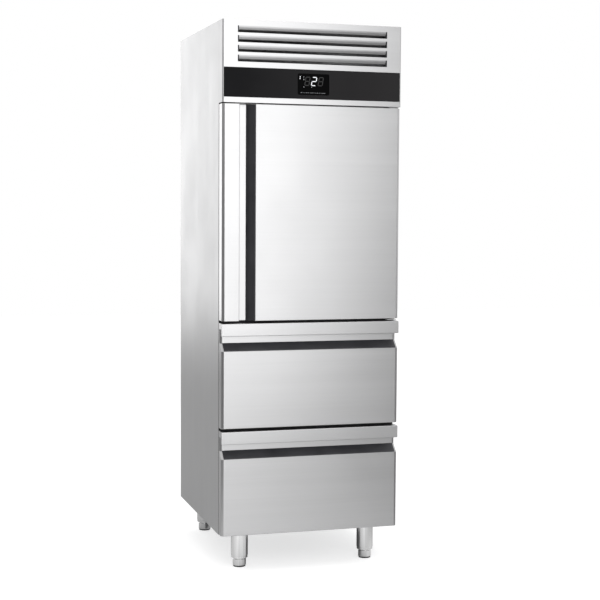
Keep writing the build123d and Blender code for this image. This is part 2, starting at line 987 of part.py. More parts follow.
with BuildPart() as control_glass:
    slab(
        -glass_half + glass_gap, glass_half - glass_gap, front, front + glass_thickness,
        glass_bottom + glass_gap, glass_top - glass_gap,
    )
    with BuildSketch(across(front)):
        with Locations((0, display_middle)):
            RectangleRounded(display_width, display_height, display_corner)
    extrude(amount=-glass_thickness, mode=Mode.SUBTRACT)
save(control_glass, "control_glass")

with BuildPart() as display_module:
    with BuildSketch(across(front)):
        with Locations((0, display_middle)):
            RectangleRounded(
                display_width - 2 * glass_gap, display_height - 2 * glass_gap,
                display_corner - glass_gap,
            )
    extrude(amount=-display_depth)
save(display_module, "display_module")

# Electrical control box behind the glass, and terminal box with its cable gland

glass_back = front + glass_thickness + glass_gap + sheet
control_box_x = -glass_half + control_box_side
control_box_z = (glass_bottom + glass_top - control_box_height) / 2

with BuildPart() as control_box:
    slab(
        control_box_x, control_box_x + control_box_width,
        glass_back, glass_back + control_box_depth,
        control_box_z, control_box_z + control_box_height,
    )
    chamfer(control_box.edges().filter_by(Axis.Y), cove / 4)
save(control_box, "control_box")

terminal_x = -half + terminal_side
terminal_y = back - 2 * sheet - terminal_depth

with BuildPart() as terminal_box:
    slab(
        terminal_x, terminal_x + terminal_width, terminal_y, back - 2 * sheet,
        roof, roof + terminal_height,
    )
    chamfer(terminal_box.edges().filter_by(Axis.Y), cove / 4)
    with BuildSketch(Plane.YZ.offset(terminal_x + terminal_width)):
        with Locations((terminal_y + terminal_depth / 2, roof + terminal_height / 2)):
            RegularPolygon(gland_radius, 6)
    extrude(amount=gland_length)
save(terminal_box, "terminal_box")

# Condensing unit

tray_half = half - unit_side_gap
tray_front = body_front + unit_front_gap
tray_back = back - unit_rear_gap
tray_top = roof + sheet

with BuildPart() as unit_tray:
    slab(-tray_half, tray_half, tray_front, tray_back, roof, roof + unit_lip)
    slab(
        -tray_half + sheet, tray_half - sheet, tray_front + sheet, tray_back - sheet,
        tray_top, roof + 2 * unit_lip, Mode.SUBTRACT,
    )
    pipe_port(roof, 4 * sheet)
save(unit_tray, "unit_tray")

shell_bottom = tray_top + compressor_foot
shell_top = tray_top + compressor_height
shell_middle = (shell_bottom + shell_top) / 2
cap_x = compressor_x - compressor_radius - compressor_cap_reach

with BuildPart() as compressor:
    with BuildSketch(Plane.XZ.offset(-compressor_y)) as shell:
        with Locations((compressor_x + compressor_radius / 2, shell_middle)):
            Rectangle(compressor_radius, shell_top - shell_bottom)
        chamfer(shell.vertices().group_by(Axis.Y)[0].sort_by(Axis.X)[-1], compressor_base)
        chamfer(shell.vertices().group_by(Axis.Y)[-1].sort_by(Axis.X)[-1], compressor_dome)
    revolve(axis=Axis((compressor_x, compressor_y, 0), (0, 0, 1)))
    with BuildSketch(Plane.XY.offset(shell_bottom)):
        with Locations((compressor_x, compressor_y)):
            RectangleRounded(
                2 * (compressor_radius + compressor_plate_side),
                2 * (compressor_radius + compressor_plate_end), cove,
            )
    extrude(amount=-compressor_plate)
    with BuildSketch(Plane.XY.offset(tray_top)):
        with Locations((compressor_x, compressor_y)):
            with GridLocations(2 * compressor_radius, compressor_radius + cove, 2, 2):
                RegularPolygon(compressor_foot_radius, 8)
    extrude(amount=compressor_foot)
    slab(
        cap_x, compressor_x, compressor_y - compressor_cap_width / 2,
        compressor_y + compressor_cap_width / 2, shell_middle - compressor_cap_height,
        shell_middle,
    )
save(compressor, "compressor")

coil_x = -half + coil_side
coil_front = body_front + coil_setback
coil_middle = tray_top + coil_height / 2
shroud_front = coil_front + coil_depth
ring_front = shroud_front + shroud_depth
condenser_fan_y = shroud_front + fan_setback

with BuildPart() as condenser_coil:
    slab(
        coil_x - coil_width / 2, coil_x + coil_width / 2, coil_front, shroud_front,
        tray_top, tray_top + coil_height,
    )
    fin_count = int((coil_width - 2 * coil_border) / fin_pitch)
    with BuildSketch(across(coil_front)):
        with Locations((coil_x, coil_middle)):
            with GridLocations(fin_pitch, 1, fin_count, 1):
                Rectangle(fin_slot, coil_height - 2 * coil_border)
    extrude(amount=-fin_groove, mode=Mode.SUBTRACT)
save(condenser_coil, "condenser_coil")


def paddles(centre, axis, radius):
    # Blades set round a hub, each pitched about its own radius
    base = Plane(origin=centre, z_dir=axis)
    pitch = radians(fan_pitch)
    tip = radius - fan_clear
    for number in range(fan_blades):
        turn = 2 * pi / fan_blades * number
        spoke = base.x_dir * cos(turn) + base.y_dir * sin(turn)
        lean = base.z_dir * cos(pitch) + base.z_dir.cross(spoke) * sin(pitch)
        with BuildSketch(Plane(origin=centre, x_dir=spoke, z_dir=lean)) as paddle:
            with BuildLine():
                Polyline(
                    (fan_hub * 0.9, -fan_hub / 2), (tip * 0.75, -tip / 3), (tip, -tip / 8),
                    (tip * 0.9, tip / 4), (fan_hub * 0.9, fan_hub / 2), close=True,
                )
            make_face()
        extrude(paddle.sketch, amount=blade_sheet / 2, both=True)


with BuildPart() as condenser_shroud:
    with BuildSketch(across(shroud_front)):
        with Locations((coil_x, coil_middle)):
            Rectangle(coil_width, coil_height)
    extrude(amount=-shroud_depth)
    with BuildSketch(across(shroud_front)):
        with Locations((coil_x, coil_middle)):
            Rectangle(coil_width - 2 * sheet, coil_height - 2 * sheet)
    extrude(amount=sheet - shroud_depth, mode=Mode.SUBTRACT)
    with BuildSketch(across(ring_front - 2 * sheet)):
        with Locations((coil_x, coil_middle)):
            Circle(fan_radius)
    extrude(amount=-3 * sheet, mode=Mode.SUBTRACT)
    with BuildSketch(across(ring_front)):
        with Locations((coil_x, coil_middle)):
            with PolarLocations(0, 2, 45, 180):
                Rectangle(2 * (fan_radius + motor_arm), motor_arm)
            Circle(motor_radius)
    extrude(amount=-motor_arm_thickness)
    with BuildSketch(across(ring_front)):
        with Locations((coil_x, coil_middle)):
            Circle(motor_radius)
    extrude(amount=-motor_length)
    with BuildSketch(across(ring_front)):
        with Locations((coil_x, coil_middle)):
            Circle(shaft_radius + pin_clearance)
    extrude(amount=-motor_bore, mode=Mode.SUBTRACT)
save(condenser_shroud, "condenser_shroud")

with BuildPart() as condenser_fan:
    with BuildSketch(across(condenser_fan_y - fan_hub_length / 2)):
        with Locations((coil_x, coil_middle)):
            Circle(fan_hub)
    extrude(amount=-fan_hub_length)
    paddles((coil_x, condenser_fan_y, coil_middle), (0, 1, 0), fan_radius)
    with BuildSketch(across(condenser_fan_y)):
        with Locations((coil_x, coil_middle)):
            Circle(shaft_radius)
    extrude(amount=condenser_fan_y + shaft_end_gap - ring_front - motor_bore)
save(condenser_fan, "condenser_fan_blade")

# Receiver with its copper pipes to the coil and to the compressor

receiver_x = -half + receiver_side
receiver_y = back - receiver_rear
receiver_top = tray_top + receiver_height
pipe_top = receiver_top + pipe_rise
pipe_start = receiver_top - receiver_round
coil_right = coil_x + coil_width / 2
coil_port_y = coil_front + coil_depth / 2
suction_reach = compressor_radius**2 - (abs(port_shift_x) - pipe_radius)**2
suction_end = compressor_y + sqrt(suction_reach) + rest_gap


def pipe(*points):
    # Eight-sided pipe through a line of corner points, each bend cut across by one short step
    route = [Vector(*points[0])]
    for before, corner, after in zip(points, points[1:], points[2:]):
        here = Vector(*corner)
        route.append(here + (Vector(*before) - here).normalized() * pipe_bend)
        route.append(here + (Vector(*after) - here).normalized() * pipe_bend)
    route.append(Vector(*points[-1]))
    path = Wire.make_polygon(route, close=False)
    with BuildSketch(Plane(path @ 0, z_dir=path % 0)) as bore:
        RegularPolygon(pipe_radius, 8)
    sweep(bore.sketch, path=path, transition=Transition.RIGHT)


with BuildPart() as refrigerant_pipes:
    with BuildSketch(Plane.XY.offset(tray_top)):
        with Locations((receiver_x, receiver_y)):
            Circle(receiver_radius)
    extrude(amount=receiver_height)
    rims = refrigerant_pipes.edges().filter_by(GeomType.CIRCLE)
    chamfer(rims.group_by(Axis.Z)[-1], receiver_round)
    pipe(
        (receiver_x, receiver_y, pipe_start),
        (receiver_x, receiver_y, pipe_top),
        (coil_right + pipe_rise, receiver_y, pipe_top),
        (coil_right + pipe_rise, coil_port_y, pipe_top),
        (coil_right + pipe_rise, coil_port_y, coil_middle),
        (coil_right + rest_gap, coil_port_y, coil_middle),
    )
    pipe(
        (compressor_x, compressor_y - compressor_radius - rest_gap, tray_top + discharge_rise),
        (compressor_x, coil_port_y, tray_top + discharge_rise),
        (coil_right + rest_gap, coil_port_y, tray_top + discharge_rise),
    )
    pipe(
        (port_x, port_y, room_top + rest_gap),
        (port_x, port_y, tray_top + suction_rise),
        (port_x, suction_end, tray_top + suction_rise),
    )
save(refrigerant_pipes, "refrigerant_pipes")

# Evaporator under the ceiling of the cold room

evaporator_half = room_half - evaporator_side_gap
evaporator_back = room_back - evaporator_rear_gap
evaporator_front = evaporator_back - evaporator_length
evaporator_fan_y = evaporator_front + evaporator_fan_setback
evaporator_fan_z = evaporator_bottom + evaporator_fan_rise
evaporator_coil_front = evaporator_fan_y + evaporator_fan_radius + evaporator_coil_gap
evaporator_motor_z = room_top - fan_ring - motor_length
return_count = int(
    (2 * evaporator_half - 2 * evaporator_return_margin) / evaporator_return_pitch
)

with BuildPart() as evaporator_cover:
    slab(
        -evaporator_half, evaporator_half, evaporator_front, evaporator_back,
        evaporator_bottom, room_top,
    )
    slab(
        -evaporator_half + sheet, evaporator_half - sheet,
        evaporator_front + sheet, evaporator_back - sheet,
        evaporator_bottom + sheet, room_top + sheet, Mode.SUBTRACT,
    )
    with Locations((0, evaporator_fan_y, evaporator_bottom)):
        Cylinder(evaporator_fan_radius, 4 * sheet, mode=Mode.SUBTRACT)
    with BuildSketch(across(evaporator_back + sheet)):
        with Locations((0, evaporator_bottom + evaporator_height / 2)):
            with GridLocations(evaporator_return_pitch, 1, return_count, 1):
                Rectangle(
                    evaporator_return_width, evaporator_height - 2 * evaporator_return_margin
                )
    extrude(amount=3 * sheet, mode=Mode.SUBTRACT)
save(evaporator_cover, "evaporator_cover")

with BuildPart() as evaporator_coil:
    slab(
        -evaporator_half + evaporator_coil_gap, evaporator_half - evaporator_coil_gap,
        evaporator_coil_front, evaporator_back - evaporator_coil_gap,
        evaporator_bottom + evaporator_drip_gap, room_top,
    )
    fin_count = int(2 * (evaporator_half - evaporator_coil_gap - coil_border) / (3 * fin_pitch))
    with BuildSketch(across(evaporator_coil_front)):
        with Locations((0, (evaporator_bottom + evaporator_drip_gap + room_top) / 2)):
            with GridLocations(3 * fin_pitch, 1, fin_count, 1):
                Rectangle(
                    3 * fin_slot, evaporator_height - evaporator_drip_gap - 2 * coil_border
                )
    extrude(amount=-fin_groove, mode=Mode.SUBTRACT)
save(evaporator_coil, "evaporator_coil")

with BuildPart() as evaporator_motor:
    with BuildSketch(Plane.XY.offset(evaporator_motor_z)):
        with Locations((0, evaporator_fan_y)):
            Circle(motor_radius)
    extrude(amount=motor_length)
    with BuildSketch(Plane.XY.offset(room_top - fan_ring)):
        with Locations((0, evaporator_fan_y)):
            Rectangle(2 * evaporator_fan_radius, 2 * motor_arm)
    extrude(amount=fan_ring)
    with BuildSketch(Plane.XY.offset(evaporator_motor_z)):
        with Locations((0, evaporator_fan_y)):
            Circle(shaft_radius + pin_clearance)
    extrude(amount=motor_bore, mode=Mode.SUBTRACT)
save(evaporator_motor, "evaporator_fan_motor")

with BuildPart() as evaporator_fan:
    with BuildSketch(Plane.XY.offset(evaporator_fan_z - fan_hub_length / 2)):
        with Locations((0, evaporator_fan_y)):
            Circle(fan_hub)
    extrude(amount=fan_hub_length)
    paddles((0, evaporator_fan_y, evaporator_fan_z), (0, 0, 1), evaporator_fan_radius)
    with BuildSketch(Plane.XY.offset(evaporator_fan_z)):
        with Locations((0, evaporator_fan_y)):
            Circle(shaft_radius)
    extrude(amount=evaporator_motor_z + motor_bore - shaft_end_gap - evaporator_fan_z)
save(evaporator_fan, "evaporator_fan_blade")
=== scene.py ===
import bmesh
import bpy
import json
import math
from mathutils import Matrix, Vector

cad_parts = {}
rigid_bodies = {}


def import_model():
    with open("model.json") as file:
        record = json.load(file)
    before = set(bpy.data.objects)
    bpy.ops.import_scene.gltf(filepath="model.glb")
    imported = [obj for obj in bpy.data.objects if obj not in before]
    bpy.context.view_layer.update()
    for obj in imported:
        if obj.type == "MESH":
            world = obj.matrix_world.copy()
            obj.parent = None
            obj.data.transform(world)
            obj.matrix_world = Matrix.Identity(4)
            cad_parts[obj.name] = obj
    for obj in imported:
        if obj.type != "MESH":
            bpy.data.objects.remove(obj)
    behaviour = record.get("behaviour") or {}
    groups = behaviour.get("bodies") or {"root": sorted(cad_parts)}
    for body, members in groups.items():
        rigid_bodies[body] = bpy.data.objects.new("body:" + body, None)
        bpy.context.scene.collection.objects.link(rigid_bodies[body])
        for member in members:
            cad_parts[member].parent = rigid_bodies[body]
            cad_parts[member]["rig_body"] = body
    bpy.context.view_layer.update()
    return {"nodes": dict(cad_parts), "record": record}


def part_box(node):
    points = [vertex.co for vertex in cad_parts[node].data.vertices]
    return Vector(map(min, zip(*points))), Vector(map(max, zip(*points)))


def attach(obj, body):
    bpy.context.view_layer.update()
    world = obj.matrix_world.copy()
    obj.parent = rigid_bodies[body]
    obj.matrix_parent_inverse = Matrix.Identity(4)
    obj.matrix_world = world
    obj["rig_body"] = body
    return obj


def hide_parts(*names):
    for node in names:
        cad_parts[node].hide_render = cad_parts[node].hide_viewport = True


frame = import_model()
scene = bpy.context.scene
nodes = frame["nodes"]

# Camera at the photograph's angle; yaw, pitch and roll in degrees, the rest of the picture in pixels
cameraSetup = {
    "place": (-1.5224, -5.6763, 1.4085), "yaw": -18.01, "pitch": -3.87, "roll": 0.48,
    "focal": 1444.0, "picture": 600, "shift": 60, "sensor": 36.0,
}


def placeCamera(setup):
    yaw, pitch, roll = (math.radians(setup[key]) for key in ("yaw", "pitch", "roll"))
    ahead = Vector((-math.sin(yaw) * math.cos(pitch), math.cos(yaw) * math.cos(pitch), math.sin(pitch)))
    right = Vector((math.cos(yaw), math.sin(yaw), 0))
    up = right.cross(ahead)
    turnedRight = right * math.cos(roll) + up * math.sin(roll)
    turnedUp = up * math.cos(roll) - right * math.sin(roll)
    data = bpy.data.cameras.new("photoCamera")
    data.sensor_width = setup["sensor"]
    data.lens = setup["focal"] / setup["picture"] * setup["sensor"]
    data.shift_x = -setup["shift"] / setup["picture"]
    data.clip_end = 60
    camera = bpy.data.objects.new("photoCamera", data)
    scene.collection.objects.link(camera)
    axes = Matrix((turnedRight, turnedUp, -ahead)).transposed().to_4x4()
    camera.matrix_world = Matrix.Translation(setup["place"]) @ axes
    scene.camera = camera


placeCamera(cameraSetup)


# Node helpers
def addNode(tree, kind, inputs=None, **settings):
    node = tree.nodes.new(kind)
    for key, value in settings.items():
        setattr(node, key, value)
    for key, value in (inputs or {}).items():
        if isinstance(value, bpy.types.NodeSocket):
            tree.links.new(value, node.inputs[key])
        else:
            node.inputs[key].default_value = value
    return node


def newGroup(name, kind, inputs, outputs):
    tree = bpy.data.node_groups.new(name, kind)
    for label, socket, value in inputs:
        made = tree.interface.new_socket(label, in_out="INPUT", socket_type=socket)
        if value is not None:
            made.default_value = value
    for label, socket in outputs:
        tree.interface.new_socket(label, in_out="OUTPUT", socket_type=socket)
    return tree, tree.nodes.new("NodeGroupInput"), tree.nodes.new("NodeGroupOutput")


def maths(tree, operation, *values):
    return addNode(tree, "ShaderNodeMath", dict(enumerate(values)), operation=operation).outputs[0]


def mapRange(tree, value, low, high, first=0.0, last=1.0):
    return addNode(tree, "ShaderNodeMapRange", {0: value, 1: low, 2: high, 3: first, 4: last}).outputs[0]


def blendValue(tree, low, high, mask):
    return addNode(tree, "ShaderNodeMix", {0: mask, 2: low, 3: high}).outputs[0]


def blendColour(tree, low, high, mask):
    return addNode(tree, "ShaderNodeMix", {0: mask, 6: low, 7: high}, data_type="RGBA").outputs[2]


def noiseMask(tree, coordinates, scale, detail, low, high):
    noise = addNode(tree, "ShaderNodeTexNoise", {"Vector": coordinates, "Scale": scale, "Detail": detail})
    return mapRange(tree, noise.outputs["Fac"], low, high)


# Grain groups: object coordinates in; a colour, a roughness and a height out
def startGrain(name, extra):
    inputs = [("Coordinates", "NodeSocketVector", None), *extra]
    inputs += [(label, "NodeSocketColor", None) for label in ("Light", "Dark")]
    inputs += [(label, "NodeSocketFloat", 0.4) for label in ("Smooth", "Rough")]
    outputs = [("Colour", "NodeSocketColor"), ("Roughness", "NodeSocketFloat"), ("Height", "NodeSocketFloat")]
    return newGroup(name, "ShaderNodeTree", inputs, outputs)


def endGrain(tree, given, result, tone, handling, height):
    colour = blendColour(tree, given.outputs["Dark"], given.outputs["Light"], tone)
    roughness = blendValue(tree, given.outputs["Smooth"], given.outputs["Rough"], handling)
    for label, value in (("Colour", colour), ("Roughness", roughness), ("Height", height)):
        tree.links.new(value, result.inputs[label])
    return tree


def makeBrushedGrain():
    # Brushed sheet: fine lines one way, broad streaks the same way, and cloudy handling marks
    tree, given, result = startGrain("brushedGrain", [
        ("Line Scale", "NodeSocketVector", (900, 900, 6)), ("Streak Scale", "NodeSocketVector", (24, 24, 0.5)),
    ])
    where = given.outputs["Coordinates"]
    lines, streaks = (
        addNode(tree, "ShaderNodeVectorMath", {0: where, 1: given.outputs[key]}, operation="MULTIPLY").outputs[0]
        for key in ("Line Scale", "Streak Scale")
    )
    fine = noiseMask(tree, lines, scale=1.0, detail=2.0, low=0.25, high=0.75)
    broad = noiseMask(tree, streaks, scale=1.0, detail=3.0, low=0.3, high=0.7)
    cloud = noiseMask(tree, where, scale=4.5, detail=3.0, low=0.35, high=0.65)
    tone = blendValue(tree, fine, broad, 0.6)
    handling = blendValue(tree, broad, cloud, 0.55)
    return endGrain(tree, given, result, tone, handling, fine)


def makeMouldedGrain():
    # Moulded or painted skin: a fine pebble with a slow drift of tone
    tree, given, result = startGrain("mouldedGrain", [("Pebble", "NodeSocketFloat", 900.0)])
    where = given.outputs["Coordinates"]
    pebble = addNode(tree, "ShaderNodeTexNoise", {"Vector": where, "Scale": given.outputs["Pebble"], "Detail": 2.0})
    drift = noiseMask(tree, where, scale=9.0, detail=4.0, low=0.3, high=0.7)
    return endGrain(tree, given, result, drift, drift, pebble.outputs["Fac"])


def makeZincSpangle():
    # Zinc coat: flat crystals of slightly different grey
    tree, given, result = startGrain("zincSpangle", [("Crystal", "NodeSocketFloat", 90.0)])
    where = given.outputs["Coordinates"]
    crystal = addNode(tree, "ShaderNodeTexVoronoi", {"Vector": where, "Scale": given.outputs["Crystal"]})
    flake = addNode(tree, "ShaderNodeSeparateColor", {0: crystal.outputs["Color"]}).outputs
    grain = noiseMask(tree, where, scale=400.0, detail=2.0, low=0.3, high=0.7)
    return endGrain(tree, given, result, blendValue(tree, flake[0], grain, 0.3), flake[1], grain)


def makeEdgeWear():
    # Worn edges: the bevelled faces that carry the wear attribute, broken up by noise
    tree, given, result = newGroup(
        "edgeWear", "ShaderNodeTree",
        [("Coordinates", "NodeSocketVector", None), ("Edge", "NodeSocketFloat", 0.0),
         ("Amount", "NodeSocketFloat", 0.6)],
        [("Worn", "NodeSocketFloat")],
    )
    broken = noiseMask(tree, given.outputs["Coordinates"], scale=55.0, detail=4.0, low=0.35, high=0.6)
    onEdge = maths(tree, "MULTIPLY", given.outputs["Edge"], broken)
    tree.links.new(maths(tree, "MULTIPLY", onEdge, given.outputs["Amount"]), result.inputs["Worn"])
    return tree


grainGroups = {"brushed": makeBrushedGrain(), "moulded": makeMouldedGrain(), "zinc": makeZincSpangle()}
wearGroup = makeEdgeWear()

# One row for each finish: colours, grain, roughness between smooth and rough, and what the worn edge turns to
brushed = {"grain": "brushed", "metallic": 1.0, "bump": 0.03, "depth": 0.00002}
moulded = {"grain": "moulded", "metallic": 0.0}
finishes = {
    "frontSteel": {**brushed, "light": (0.500, 0.500, 0.504), "dark": (0.468, 0.468, 0.472),
                   "Smooth": 0.29, "Rough": 0.34,
                   "Line Scale": (3, 320, 320), "Streak Scale": (0.5, 26, 26),
                   "worn": (0.62, 0.62, 0.62), "wornRough": 0.22},
    # Blade steel is the front's steel painted darker: painted shade for the blades inside the slots
    "bladeSteel": {**brushed, "light": (0.430, 0.430, 0.434), "dark": (0.390, 0.390, 0.394),
                   "Smooth": 0.27, "Rough": 0.36,
                   "Line Scale": (3, 320, 320), "Streak Scale": (0.5, 26, 26),
                   "worn": (0.52, 0.52, 0.52), "wornRough": 0.22},
    "cabinetSteel": {**brushed, "light": (0.490, 0.490, 0.494), "dark": (0.450, 0.450, 0.454),
                     "Smooth": 0.40, "Rough": 0.47,
                     "Line Scale": (320, 320, 3), "Streak Scale": (22, 22, 0.5),
                     "worn": (0.62, 0.62, 0.62), "wornRough": 0.24},
    "linerSteel": {**brushed, "light": (0.500, 0.500, 0.505), "dark": (0.470, 0.470, 0.475),
                   "Smooth": 0.32, "Rough": 0.37,
                   "Line Scale": (320, 3, 320), "Streak Scale": (18, 0.6, 18),
                   "worn": (0.74, 0.74, 0.74), "wornRough": 0.2},
    # Leg steel: brushed grain whose light and dark upright streaks lie far apart, a painted reflection of a polished
    # tube laid on the grain
    "legSteel": {**brushed, "light": (0.92, 0.92, 0.92), "dark": (0.50, 0.50, 0.503),
                 "Smooth": 0.10, "Rough": 0.20,
                 "Line Scale": (300, 300, 4), "Streak Scale": (30, 30, 0.4),
                 "worn": (0.66, 0.66, 0.66), "wornRough": 0.18},
    "zincSheet": {"grain": "zinc", "light": (0.50, 0.51, 0.53), "dark": (0.38, 0.39, 0.41),
                  "Smooth": 0.34, "Rough": 0.52, "metallic": 0.9, "bump": 0.04, "depth": 0.00003,
                  "worn": (0.60, 0.60, 0.62), "wornRough": 0.3},
    "railZinc": {**brushed, "light": (0.56, 0.57, 0.58), "dark": (0.47, 0.48, 0.50),
                 "Smooth": 0.26, "Rough": 0.40, "bump": 0.04,
                 "Line Scale": (500, 5, 500), "Streak Scale": (30, 1, 30),
                 "worn": (0.68, 0.68, 0.70), "wornRough": 0.22},
    "shelfWire": {**moulded, "light": (0.21, 0.21, 0.215), "dark": (0.16, 0.16, 0.165),
                  "Smooth": 0.30, "Rough": 0.45, "metallic": 0.35, "bump": 0.08, "depth": 0.00004,
                  "worn": (0.4, 0.4, 0.4), "wornRough": 0.3},
    "foam": {**moulded, "light": (0.80, 0.72, 0.46), "dark": (0.66, 0.58, 0.34),
             "Smooth": 0.80, "Rough": 0.95, "bump": 0.3, "depth": 0.0004, "Pebble": 500.0,
             "worn": (0.7, 0.62, 0.4), "wornRough": 0.9},
    "gasketRubber": {**moulded, "light": (0.050, 0.050, 0.053), "dark": (0.034, 0.034, 0.036),
                     "Smooth": 0.50, "Rough": 0.68, "bump": 0.1, "depth": 0.00005,
                     "worn": (0.09, 0.09, 0.094), "wornRough": 0.6, "shine": 0.12},
    "gripPlastic": {**moulded, "light": (0.045, 0.045, 0.05), "dark": (0.030, 0.030, 0.034),
                    "Smooth": 0.34, "Rough": 0.48, "bump": 0.15, "depth": 0.00005,
                    "worn": (0.09, 0.09, 0.095), "wornRough": 0.3},
    "displayPlastic": {**moulded, "light": (0.0010, 0.0010, 0.0012), "dark": (0.0005, 0.0005, 0.0006),
                       "Smooth": 0.10, "Rough": 0.18, "bump": 0.02, "depth": 0.00001,
                       "worn": (0.006, 0.006, 0.006), "wornRough": 0.2, "shine": 0.02},
    "greyPlastic": {**moulded, "light": (0.40, 0.41, 0.42), "dark": (0.33, 0.34, 0.35),
                    "Smooth": 0.42, "Rough": 0.58, "bump": 0.15, "depth": 0.00006,
                    "worn": (0.5, 0.5, 0.5), "wornRough": 0.4},
    "nylon": {**moulded, "light": (0.72, 0.71, 0.68), "dark": (0.62, 0.61, 0.57),
              "Smooth": 0.35, "Rough": 0.5, "bump": 0.06, "depth": 0.00004,
              "worn": (0.8, 0.8, 0.78), "wornRough": 0.3},
    "blackPaint": {**moulded, "light": (0.032, 0.032, 0.036), "dark": (0.020, 0.020, 0.023),
                   "Smooth": 0.28, "Rough": 0.44, "bump": 0.2, "depth": 0.0001, "Pebble": 420.0,
                   "worn": (0.14, 0.13, 0.12), "wornRough": 0.35},
    "fanPlastic": {**moulded, "light": (0.050, 0.050, 0.055), "dark": (0.032, 0.032, 0.036),
                   "Smooth": 0.45, "Rough": 0.6, "bump": 0.1, "depth": 0.00005,
                   "worn": (0.09, 0.09, 0.09), "wornRough": 0.4},
    "finAluminium": {**brushed, "light": (0.70, 0.71, 0.72), "dark": (0.58, 0.59, 0.60),
                     "Smooth": 0.28, "Rough": 0.42, "bump": 0.05,
                     "Line Scale": (300, 300, 20), "Streak Scale": (40, 40, 2),
                     "worn": (0.8, 0.8, 0.8), "wornRough": 0.25},
    "copper": {**brushed, "light": (0.72, 0.36, 0.22), "dark": (0.52, 0.24, 0.14),
               "Smooth": 0.22, "Rough": 0.42, "bump": 0.05,
               "Line Scale": (120, 120, 120), "Streak Scale": (16, 16, 16),
               "worn": (0.85, 0.5, 0.34), "wornRough": 0.2},
}


def newMaterial(name):
    material = bpy.data.materials.new(name)
    material.use_nodes = True
    return material, material.node_tree, material.node_tree.nodes["Principled BSDF"]


def makeFinish(name, row):
    material, tree, shader = newMaterial(name)
    where = addNode(tree, "ShaderNodeTexCoord").outputs["Object"]
    colours = {"Light": (*row["light"], 1), "Dark": (*row["dark"], 1)}
    grain = addNode(tree, "ShaderNodeGroup", {"Coordinates": where, **colours}, node_tree=grainGroups[row["grain"]])
    for key, value in row.items():
        if key in grain.inputs:
            grain.inputs[key].default_value = value
    edge = addNode(tree, "ShaderNodeAttribute", attribute_name="edgeWear").outputs["Fac"]
    wear = addNode(tree, "ShaderNodeGroup", {"Coordinates": where, "Edge": edge}, node_tree=wearGroup)
    worn = wear.outputs["Worn"]
    colour = blendColour(tree, grain.outputs["Colour"], (*row["worn"], 1), worn)
    roughness = blendValue(tree, grain.outputs["Roughness"], row["wornRough"], worn)
    relief = {"Strength": row["bump"], "Distance": row["depth"], "Height": grain.outputs["Height"]}
    bump = addNode(tree, "ShaderNodeBump", relief)
    for socket, value in (("Base Color", colour), ("Roughness", roughness), ("Normal", bump.outputs["Normal"])):
        tree.links.new(value, shader.inputs[socket])
    shader.inputs["Metallic"].default_value = row["metallic"]
    shader.inputs["Specular IOR Level"].default_value = row.get("shine", 0.5)
    return material


materials = {name: makeFinish(name, row) for name, row in finishes.items()}


# Smoked glass with a painted reflection that makes its colour paler towards its right end, and the marks of the display
def makeGlassFinish(name, row):
    material = makeFinish(name, row)
    tree = material.node_tree
    shader = tree.nodes["Principled BSDF"]
    where = addNode(tree, "ShaderNodeTexCoord").outputs["Object"]
    across = addNode(tree, "ShaderNodeSeparateXYZ", {0: where}).outputs["X"]
    # Across x the colour blends to a paler tone: a painted reflection
    share = mapRange(tree, across, row["from"], row["to"])
    plain = shader.inputs["Base Color"].links[0].from_socket
    tree.links.new(blendColour(tree, plain, (*row["pale"], 1), share), shader.inputs["Base Color"])
    return material


def makeMark(name, colour, glow, dimmed=0.85, rough=0.4):
    material, tree, shader = newMaterial(name)
    where = addNode(tree, "ShaderNodeTexCoord").outputs["Object"]
    flicker = noiseMask(tree, where, scale=140.0, detail=2.0, low=0.2, high=0.8)
    shade = blendColour(tree, (*(c * dimmed for c in colour), 1), (*colour, 1), flicker)
    tree.links.new(shade, shader.inputs["Base Color"])
    tree.links.new(shade, shader.inputs["Emission Color"])
    shader.inputs["Emission Strength"].default_value = glow
    shader.inputs["Roughness"].default_value = rough
    return material


# Black glass: between from and to along x its colour turns paler, a painted reflection
blackGlass = {**moulded, "light": (0.008, 0.008, 0.009), "dark": (0.005, 0.005, 0.006), "Smooth": 0.06,
              "Rough": 0.12, "bump": 0.01, "depth": 0.00001, "Pebble": 60.0,
              "worn": (0.05, 0.06, 0.06), "wornRough": 0.1, "shine": 0.04, "from": -0.30, "to": 0.30,
              "pale": (0.027, 0.026, 0.027)}
materials["blackGlass"] = makeGlassFinish("blackGlass", blackGlass)
materials["litMark"] = makeMark("litMark", (0.92, 0.94, 0.97), 0.3)
materials["softMark"] = makeMark("softMark", (0.34, 0.35, 0.37), 0.3)
materials["dimMark"] = makeMark("dimMark", (0.0016, 0.0017, 0.0020), 0.0)
print("materials made:", len(materials))

# Finish and material slot that every CAD node starts with; pieces made below take over some of them
slotFinish = {
    "front_steel": "frontSteel", "cabinet_steel": "cabinetSteel", "liner_steel": "linerSteel",
    "leg_steel": "legSteel", "galvanised_steel": "zincSheet", "rail_zinc": "railZinc",
    "shelf_wire": "shelfWire", "foam": "foam", "gasket_rubber": "gasketRubber",
    "grip_plastic": "gripPlastic", "display_plastic": "displayPlastic", "grey_plastic": "greyPlastic",
    "nylon": "nylon", "black_glass": "displayPlastic", "black_paint": "blackPaint",
    "fan_plastic": "fanPlastic", "fin_aluminium": "finAluminium", "copper": "copper",
}
slotOf = {row["node"]: row["material_slot"] for row in frame["record"]["subparts"]}
bodyOf = {name: node["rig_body"] for name, node in nodes.items()}


def dressNodes():
    for name, node in nodes.items():
        node.data.materials.clear()
        node.data.materials.append(materials[slotFinish[slotOf[name]]])


dressNodes()


